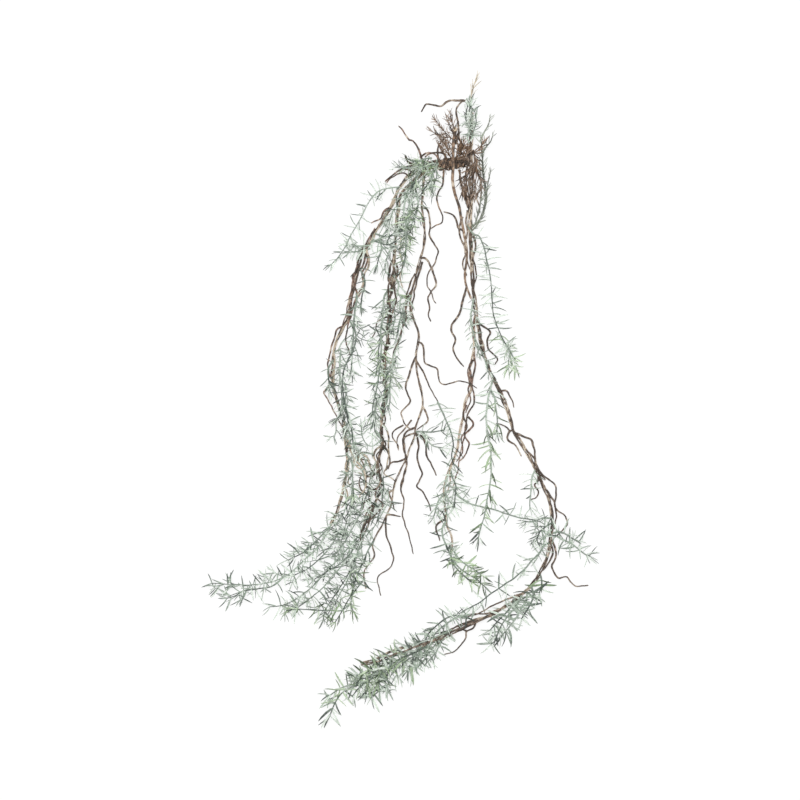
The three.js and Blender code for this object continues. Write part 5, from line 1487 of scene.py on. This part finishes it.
def add_wound_twigs(sketch, path, strand, bark, rng):
    """A strand of twigs wound loosely round each other, the first of them weathered."""
    frames = carried_frames(path)
    last = len(path) - 1
    step = path_length(path) / last
    for number, size in enumerate(TWIG_SIZES):
        phase = FULL_TURN * number / len(TWIG_SIZES) + rng.uniform(-TWIG_STRAY, TWIG_STRAY)
        seed = rng.uniform(*WIGGLE_SEEDS)
        twig = []
        radii = []
        for index, point in enumerate(path):
            _, side, up = frames[index]
            travelled = index * step
            bundle = MILLIMETRE * blend(*strand["radius"], index / last)
            sway = twig_trait(TWIG_SWAY, travelled, seed)
            angle = phase + FULL_TURN * travelled / bark.winding + sway
            apart = bundle * (TWIG_APART + twig_trait(TWIG_DISTANCE, travelled, seed))
            twig.append(point + around(side, up, angle) * apart)
            swell = twig_trait(TWIG_SWELL, travelled, seed)
            knuckle = twig_trait(TWIG_KNUCKLE, travelled, seed, KNUCKLE_FROM)
            radii.append(bundle * size * (1 + swell + max(0.0, knuckle)))
        weathered = int(number < strand["weathered"])
        sketch.add_tube(twig, radii, TWIG_SIDES, rng.random(), TWIG_LUMPS, seed, weathered)


def twig_trait(trait, travelled, seed, start=0.0):
    """How far a trait of a twig has changed at a distance along it, over the noise at which it starts."""
    changes, noise_slice, strength = trait
    return strength * (noise.noise(Vector((travelled * changes, seed, noise_slice))) - start)


def add_knot_wrap(sketch, axis, number, rng):
    """One of the roots wound round the middle line of the knot, from the innermost to the outermost."""
    frames = carried_frames(axis)
    last = len(axis) - 1
    apart = KNOT_RADIUS * blend(KNOT_INNERMOST, 1.0, number / (KNOT_WRAPS - 1))
    turns = rng.uniform(*KNOT_TURNS) * rng.choice((-1, 1))
    phase = rng.uniform(0, FULL_TURN)
    seed = rng.uniform(*WIGGLE_SEEDS)
    path = []
    for index, point in enumerate(axis):
        share = index / last
        _, side, up = frames[index]
        swell = blend(KNOT_WAIST, 1.0, math.sin(math.pi * share))
        stray = noise.noise(Vector((share * KNOT_BENDS, seed, KNOT_SLICE)))
        loose = apart * swell * (1 + KNOT_LOOSENESS * stray)
        away = around(side, up, phase + FULL_TURN * turns * share)
        away.z *= KNOT_FLATNESS
        path.append(point + away * loose)
    thick = rng.uniform(*KNOT_ROOT_RADIUS)
    radii = [thick * (1 + KNOT_SWELL * noise.noise(place * KNOT_SWELLINGS)) for place in path]
    sketch.add_tube(path, radii, ROOT_SIDES, rng.uniform(*KNOT_TONES), KNOT_ROOT_LUMPS, seed)


def add_knot_fibre(sketch, axis, rng):
    """One loose fibre that stands off the knot."""
    start = rng.choice(axis[FIBRE_FREE_RINGS:-FIBRE_FREE_RINGS])
    angle = rng.uniform(0, FULL_TURN)
    away = Vector((FIBRE_LEAN * rng.uniform(-1, 1), math.cos(angle), math.sin(angle))).normalized()
    reach = rng.uniform(*FIBRE_REACH)
    bow = Vector((rng.uniform(-1, 1), rng.uniform(-1, 1), FIBRE_BOW_RISE)) * FIBRE_BOW
    fibre = [start, start + away * reach * FIBRE_BOW_AT + bow, start + away * reach]
    path = smooth_route([place / MILLIMETRE for place in fibre], FIBRE_STEP)
    path = strayed(path, *FIBRE_WIGGLE, rng.uniform(*WIGGLE_SEEDS))
    radii = [blend(*FIBRE_RADIUS, index / (len(path) - 1)) for index in range(len(path))]
    sketch.add_tube(path, radii, FIBRE_SIDES, rng.random(), FIBRE_LUMPS)


class FERN_OT_root_knot(bpy.types.Operator):
    """Make the tangle of roots that binds the strands together"""

    bl_idname = "fern.root_knot"
    bl_label = "Root Knot"

    def execute(self, context):
        bark = context.scene.fern_bark
        rng = seeded("root knot")
        sketch = PieceSketch()
        axis = smooth_route(KNOT_AXIS, KNOT_STEP)
        for number in range(KNOT_WRAPS):
            add_knot_wrap(sketch, axis, number, rng)
        for _ in range(KNOT_FIBRES):
            add_knot_fibre(sketch, axis, rng)
        for points in KNOT_ROOTS:
            add_root(sketch, points, bark, rng)
        finish = bark_finish("root_knot", bark.stem, bark)
        sketch.finished("binding_knot", [finish])
        return {"FINISHED"}


def add_stem_tube(sketch, path, radius):
    """The round stem, open at its cut end. Gives back the ring of points round the opening."""
    last = len(path) - 1
    radii = []
    for index, place in enumerate(path):
        thick = MILLIMETRE * blend(*radius, index / last)
        radii.append(thick * (1 + STEM_SWELL * noise.noise(place * STEM_SWELLINGS)))
    radii[0] *= STEM_FLARE
    rings = sketch.add_tube(path, radii, STEM_SIDES, STEM_TONE, STEM_LUMPS, STEM_SEED)
    root_face = last * STEM_SIDES
    sketch.faces.pop(root_face)
    sketch.coats.pop(root_face)
    return rings[0]


def add_cut_end(sketch, path, rim):
    """The slanting cut across the stem, with rings of points inside its rim."""
    heading = (path[0] - path[1]).normalized()
    for corner in rim:
        place = Vector(sketch.points[corner])
        sketch.points[corner] = tuple(place - heading * (place.z - path[0].z) * CUT_SLANT)
    outer = rim
    for share in CUT_RINGS:
        ring = []
        for corner in rim:
            place = path[0].lerp(Vector(sketch.points[corner]), share) + heading * CUT_RING_HEIGHT
            ring.append(sketch.add_point(place, STEM_TONE, share))
        for corner in range(STEM_SIDES):
            following = (corner + 1) % STEM_SIDES
            sketch.add_face((outer[following], outer[corner], ring[corner], ring[following]), CUT_COAT)
        outer = ring
    middle = sketch.add_point(path[0] + heading * CUT_MIDDLE_HEIGHT, STEM_TONE, 0.0)
    for corner in range(STEM_SIDES):
        sketch.add_face((outer[(corner + 1) % STEM_SIDES], outer[corner], middle), CUT_COAT)


class FERN_OT_main_stem(bpy.types.Operator):
    """Make the tan main stem with its pale cut end and the twigs beside it"""

    bl_idname = "fern.main_stem"
    bl_label = "Main Stem"

    def execute(self, context):
        bark = context.scene.fern_bark
        rng = seeded("main stem")
        sketch = PieceSketch()
        path = smooth_route(MAIN_STEM["route"], TWIG_STEP)
        rim = add_stem_tube(sketch, path, MAIN_STEM["radius"])
        add_cut_end(sketch, path, rim)
        for points in MAIN_STEM["roots"]:
            add_root(sketch, points, bark, rng, STEM_ROOT_COAT, STEM_ROOT_SHARE)
        finishes = [
            bark_finish("main_stem", bark.stem, bark),
            cut_finish(bark),
            bark_finish("stem_twig", bark.brown, bark),
        ]
        sketch.finished("main_stem", finishes)
        return {"FINISHED"}


class FERN_OT_strands(bpy.types.Operator):
    """Make the woody strands of wound twigs, with their wiry roots"""

    bl_idname = "fern.strands"
    bl_label = "Strands"

    def execute(self, context):
        bark = context.scene.fern_bark
        weathered = bark_finish("weathered_twig", bark.weathered, bark)
        finishes = {
            "dark_bark": [bark_finish("dark_strand", bark.brown, bark), weathered],
            "red_bark": [bark_finish("red_strand", bark.red, bark), weathered],
        }
        for name, strand in STRANDS.items():
            rng = seeded(name)
            sketch = PieceSketch()
            path = smooth_route(strand["route"], TWIG_STEP)
            path = strayed(path, *STRAND_WIGGLE, rng.uniform(*WIGGLE_SEEDS))
            add_wound_twigs(sketch, path, strand, bark, rng)
            for points in strand["roots"]:
                add_root(sketch, points, bark, rng)
            weathered_share = strand["weathered"] / len(TWIG_SIZES)
            for points in strand["twigs"]:
                add_root(sketch, points, bark, rng, int(rng.random() < weathered_share))
            sketch.finished(name, finishes[strand["slot"]])
        return {"FINISHED"}


def add_leafy_stalk(sketch, points, shoot, settings, rng):
    """A green stalk with whorls of needles and short leafy side twigs."""
    path = smooth_route(points, STALK_STEP)
    path = strayed(path, *STALK_WIGGLE, rng.uniform(*WIGGLE_SEEDS))
    add_whorls(sketch, path, STALK_RADIUS, shoot, 1.0, WHOLE, settings, rng)
    if not shoot["side_twigs"]:
        return
    frames = carried_frames(path)
    last = len(path) - 1
    length = path_length(path)
    travelled = rng.uniform(*SIDE_TWIG_GAP)
    while travelled < length:
        at = min(last, round(travelled / length * last))
        twig = side_twig(path[at], frames[at], shoot["spread"], length - travelled, rng)
        start = travelled / length
        add_whorls(sketch, twig, SIDE_TWIG_RADIUS, shoot, SIDE_TWIG_NEEDLE, (start, start), settings, rng)
        travelled += rng.uniform(*SIDE_TWIG_GAP) * settings.crowding


def side_twig(foot, axes, spread, left, rng):
    """Route of a short twig from its foot on a stalk, with the length of stalk that is left beyond it."""
    heading, side, up = axes
    angle = rng.uniform(0, FULL_TURN)
    lean = rng.uniform(*SIDE_TWIG_LEAN) * spread
    aim = heading * math.cos(lean) + around(side, up, angle) * math.sin(lean)
    reach = rng.uniform(*SIDE_TWIG_REACH) * min(1.0, SIDE_TWIG_LEAST + left / SIDE_TWIG_TAPER)
    bow = Vector((rng.uniform(-1, 1), rng.uniform(-1, 1), 0.0)) * reach * SIDE_TWIG_BOW
    middle = foot + aim * reach * 0.5 + bow
    end = foot + aim * reach
    middle.z = blend(foot.z, middle.z, SIDE_TWIG_RISE)
    end.z = max(SIDE_TWIG_LOWEST, blend(foot.z, end.z, SIDE_TWIG_RISE))
    return smooth_route([place / MILLIMETRE for place in (foot, middle, end)], STALK_STEP)


def fresh_coat(shoot, share, rng):
    """Finish of a needle that grows at a share of its stalk: the second one where the growth is fresh."""
    if shoot["fresh"] is None:
        return 0
    low, high = shoot["fresh"]
    return int(low < share + rng.uniform(-FRESH_EDGE, FRESH_EDGE) < high)


def add_whorls(sketch, path, thickness, shoot, share, span, settings, rng):
    """One stalk or twig with whorls of needles along it, ending in a tuft."""
    last = len(path) - 1
    radii = [shoot["stalk"] * blend(*thickness, index / last) for index in range(last + 1)]
    tone = rng.uniform(*STALK_TONES)
    sketch.add_tube(path, radii, STALK_SIDES, tone, STALK_LUMPS, rng.uniform(*LUMP_SEEDS))
    frames = carried_frames(path)
    length = path_length(path)
    needle = shoot["needle"] * MILLIMETRE * settings.length_share * share
    spacing = shoot["spacing"] * MILLIMETRE * settings.crowding
    spread = shoot["spread"]
    width = settings.slimness * shoot["width"]
    travelled = BARE_STALK * rng.uniform(*BARE_SHARES)
    turn = rng.uniform(0, FULL_TURN)
    while travelled < length:
        nearing = max(0.0, 1 - (length - travelled) / (CLOSING_STRETCH * needle))
        at = min(last, round(travelled / length * last))
        count = rng.choice(WHORL_COUNTS)
        for number in range(count):
            angle = turn + FULL_TURN * number / count + rng.uniform(-WHORL_STRAY, WHORL_STRAY)
            lean = blend(rng.uniform(*NEEDLE_SPREAD), rng.uniform(*TIP_SPREAD), nearing) * spread
            size = needle * rng.uniform(*NEEDLE_LENGTHS)
            coat = fresh_coat(shoot, blend(*span, travelled / length), rng)
            blade = (size, width, settings.curl, shoot["dimness"], coat)
            add_needle_at(sketch, path[at], frames[at], angle, lean, blade, rng)
        turn += WHORL_TWIST
        travelled += spacing * rng.uniform(*WHORL_GAPS)
    for number in range(TUFT_COUNT):
        angle = turn + FULL_TURN * number / TUFT_COUNT
        lean = rng.uniform(*TIP_SPREAD) * spread
        size = needle * rng.uniform(*TUFT_LENGTHS)
        blade = (size, width, settings.curl, shoot["dimness"], fresh_coat(shoot, span[1], rng))
        add_needle_at(sketch, path[-1], frames[-1], angle, lean, blade, rng)


def add_needle_at(sketch, foot, axes, angle, lean, blade, rng):
    """One needle on a stalk, kept between the surface under the sprig and the frame's top."""
    size, slimness, most_curl, dimness, coat = blade
    heading, side, up = axes
    aim = heading * math.cos(lean) + around(side, up, angle) * math.sin(lean)
    aim.z *= NEEDLE_FLATNESS
    aim.normalize()
    lowest = -(foot.z - NEEDLE_LOWEST) / size
    highest = (cad_box[1].z - foot.z) / size
    rise = min(max(aim.z, lowest), highest)
    level = Vector((aim.x, aim.y, 0.0))
    if level.length < SHORT_DIRECTION:
        level = Vector((heading.x, heading.y, 0.0))
    aim = level.normalized() * math.sqrt(1 - rise**2)
    aim.z = rise
    bend = heading - aim * heading.dot(aim)
    if bend.length < SHORT_DIRECTION:
        bend = up - aim * up.dot(aim)
    bend.normalize()
    curl = most_curl * rng.uniform(*NEEDLE_CURLS)
    face = Vector((rng.uniform(-1, 1), rng.uniform(-1, 1), 1.0))
    width = size * slimness * rng.uniform(*NEEDLE_WIDTHS)
    share = rng.random() ** dimness
    tone = share * share * (3 - 2 * share)
    sketch.add_needle(foot, aim, bend, face, size, width, curl, tone, coat)


class FERN_OT_shoots(bpy.types.Operator):
    """Make the leafy shoots: green stalks with whorls of fine needles"""

    bl_idname = "fern.shoots"
    bl_label = "Leafy Shoots"

    def execute(self, context):
        settings = context.scene.fern_needles
        finishes = {
            "sage_needles": needle_finish("sage_needles", settings.sage_shade, settings.sage_bloom),
            "fresh_needles": needle_finish("fresh_needles", settings.fresh_shade, settings.fresh_bloom),
            "olive_needles": needle_finish("olive_needles", settings.olive_shade, settings.olive_bloom),
            "dry_needles": needle_finish("dry_needles", settings.dry_shade, settings.dry_bloom),
            "pale_needles": needle_finish("pale_needles", settings.pale_shade, settings.pale_bloom),
        }
        for name, traits in SHOOTS.items():
            shoot = {**USUAL_SHOOT, **traits}
            rng = seeded(name)
            sketch = PieceSketch()
            for points in shoot["stalks"]:
                add_leafy_stalk(sketch, points, shoot, settings, rng)
            coats = ("sage_needles", "fresh_needles") if shoot["fresh"] else (shoot["slot"],)
            sketch.finished(name, [finishes[coat] for coat in coats])
        return {"FINISHED"}


def add_floor(scene, stage):
    """The pale floor under the sprig."""
    mesh = bpy.data.meshes.new("floor")
    edge = FLOOR_REACH
    corners = [(-edge, -edge, 0), (edge, -edge, 0), (edge, edge, 0), (-edge, edge, 0)]
    mesh.from_pydata(corners, [], [(0, 1, 2, 3)])
    floor = bpy.data.objects.new("floor", mesh)
    floor.location.z = -FLOOR_DROP
    paper = bpy.data.materials.new("floor_paper")
    paper.use_nodes = True
    surface = paper.node_tree.nodes["Principled BSDF"]
    surface.inputs["Base Color"].default_value = stage.floor
    surface.inputs["Roughness"].default_value = FLOOR_ROUGHNESS
    surface.inputs["Emission Color"].default_value = WHITE
    surface.inputs["Emission Strength"].default_value = stage.glow
    surface.inputs["Specular IOR Level"].default_value = FLOOR_SHEEN
    mesh.materials.append(paper)
    scene.collection.objects.link(floor)


def add_light(scene, stage):
    """Even light from all round, and two large soft panels."""
    world = bpy.data.worlds.new("studio")
    world.use_nodes = True
    sky = world.node_tree.nodes["Background"]
    sky.inputs["Color"].default_value = WHITE
    sky.inputs["Strength"].default_value = stage.sky
    scene.world = world
    for label, (place, share) in PANELS.items():
        light = bpy.data.lights.new(label, "AREA")
        light.size = PANEL_WIDTH
        light.energy = stage.panel_power * share
        panel = bpy.data.objects.new(label, light)
        panel.location = place
        panel.rotation_euler = (-Vector(place)).to_track_quat("-Z", "Y").to_euler()
        panel.visible_camera = False
        scene.collection.objects.link(panel)


def add_camera(scene, stage):
    """A camera that looks straight down on the sprig."""
    lens = bpy.data.cameras.new("camera")
    lens.lens = stage.lens
    lens.clip_end = FURTHEST_VIEW
    camera = bpy.data.objects.new("camera", lens)
    distance = stage.frame_width * lens.lens / lens.sensor_width
    camera.location = (0.0, 0.0, distance + SPRIG_HEIGHT)
    scene.collection.objects.link(camera)
    scene.camera = camera
    scene.view_settings.view_transform = "Standard"


class FERN_OT_stage(bpy.types.Operator):
    """Make the pale floor, the soft light and the camera that looks down on the sprig"""

    bl_idname = "fern.stage"
    bl_label = "Stage"

    def execute(self, context):
        scene = context.scene
        stage = scene.fern_stage
        add_floor(scene, stage)
        add_light(scene, stage)
        add_camera(scene, stage)
        return {"FINISHED"}


class FERN_PT_sprig(bpy.types.Panel):
    """Lists what builds the sprig"""

    bl_idname = "FERN_PT_sprig"
    bl_label = "Fern Sprig"
    bl_space_type = "VIEW_3D"
    bl_region_type = "UI"
    bl_category = "Fern Sprig"

    def draw(self, context):
        layout = self.layout
        for operator in OPERATORS:
            layout.operator(operator.bl_idname)
        for group, kind in SETTINGS.items():
            box = layout.box()
            for name in kind.__annotations__:
                box.prop(getattr(context.scene, group), name)


SETTINGS = {"fern_needles": FernNeedles, "fern_bark": FernBark, "fern_stage": FernStage}
OPERATORS = (
    FERN_OT_root_knot,
    FERN_OT_main_stem,
    FERN_OT_strands,
    FERN_OT_shoots,
    FERN_OT_stage,
)


def register():
    """Makes the settings, operators and panel known."""
    for group in SETTINGS.values():
        bpy.utils.register_class(group)
    for name, group in SETTINGS.items():
        setattr(bpy.types.Scene, name, bpy.props.PointerProperty(type=group))
    for operator in OPERATORS:
        bpy.utils.register_class(operator)
    bpy.utils.register_class(FERN_PT_sprig)


def unregister():
    """Takes the panel, operators and settings away again."""
    bpy.utils.unregister_class(FERN_PT_sprig)
    for operator in reversed(OPERATORS):
        bpy.utils.unregister_class(operator)
    for name, group in SETTINGS.items():
        delattr(bpy.types.Scene, name)
        bpy.utils.unregister_class(group)


def main():
    """Builds the sprig on its stage."""
    register()
    bpy.ops.fern.root_knot()
    bpy.ops.fern.main_stem()
    bpy.ops.fern.strands()
    bpy.ops.fern.shoots()
    bpy.ops.fern.stage()
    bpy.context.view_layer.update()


if __name__ == "__main__":
    main()
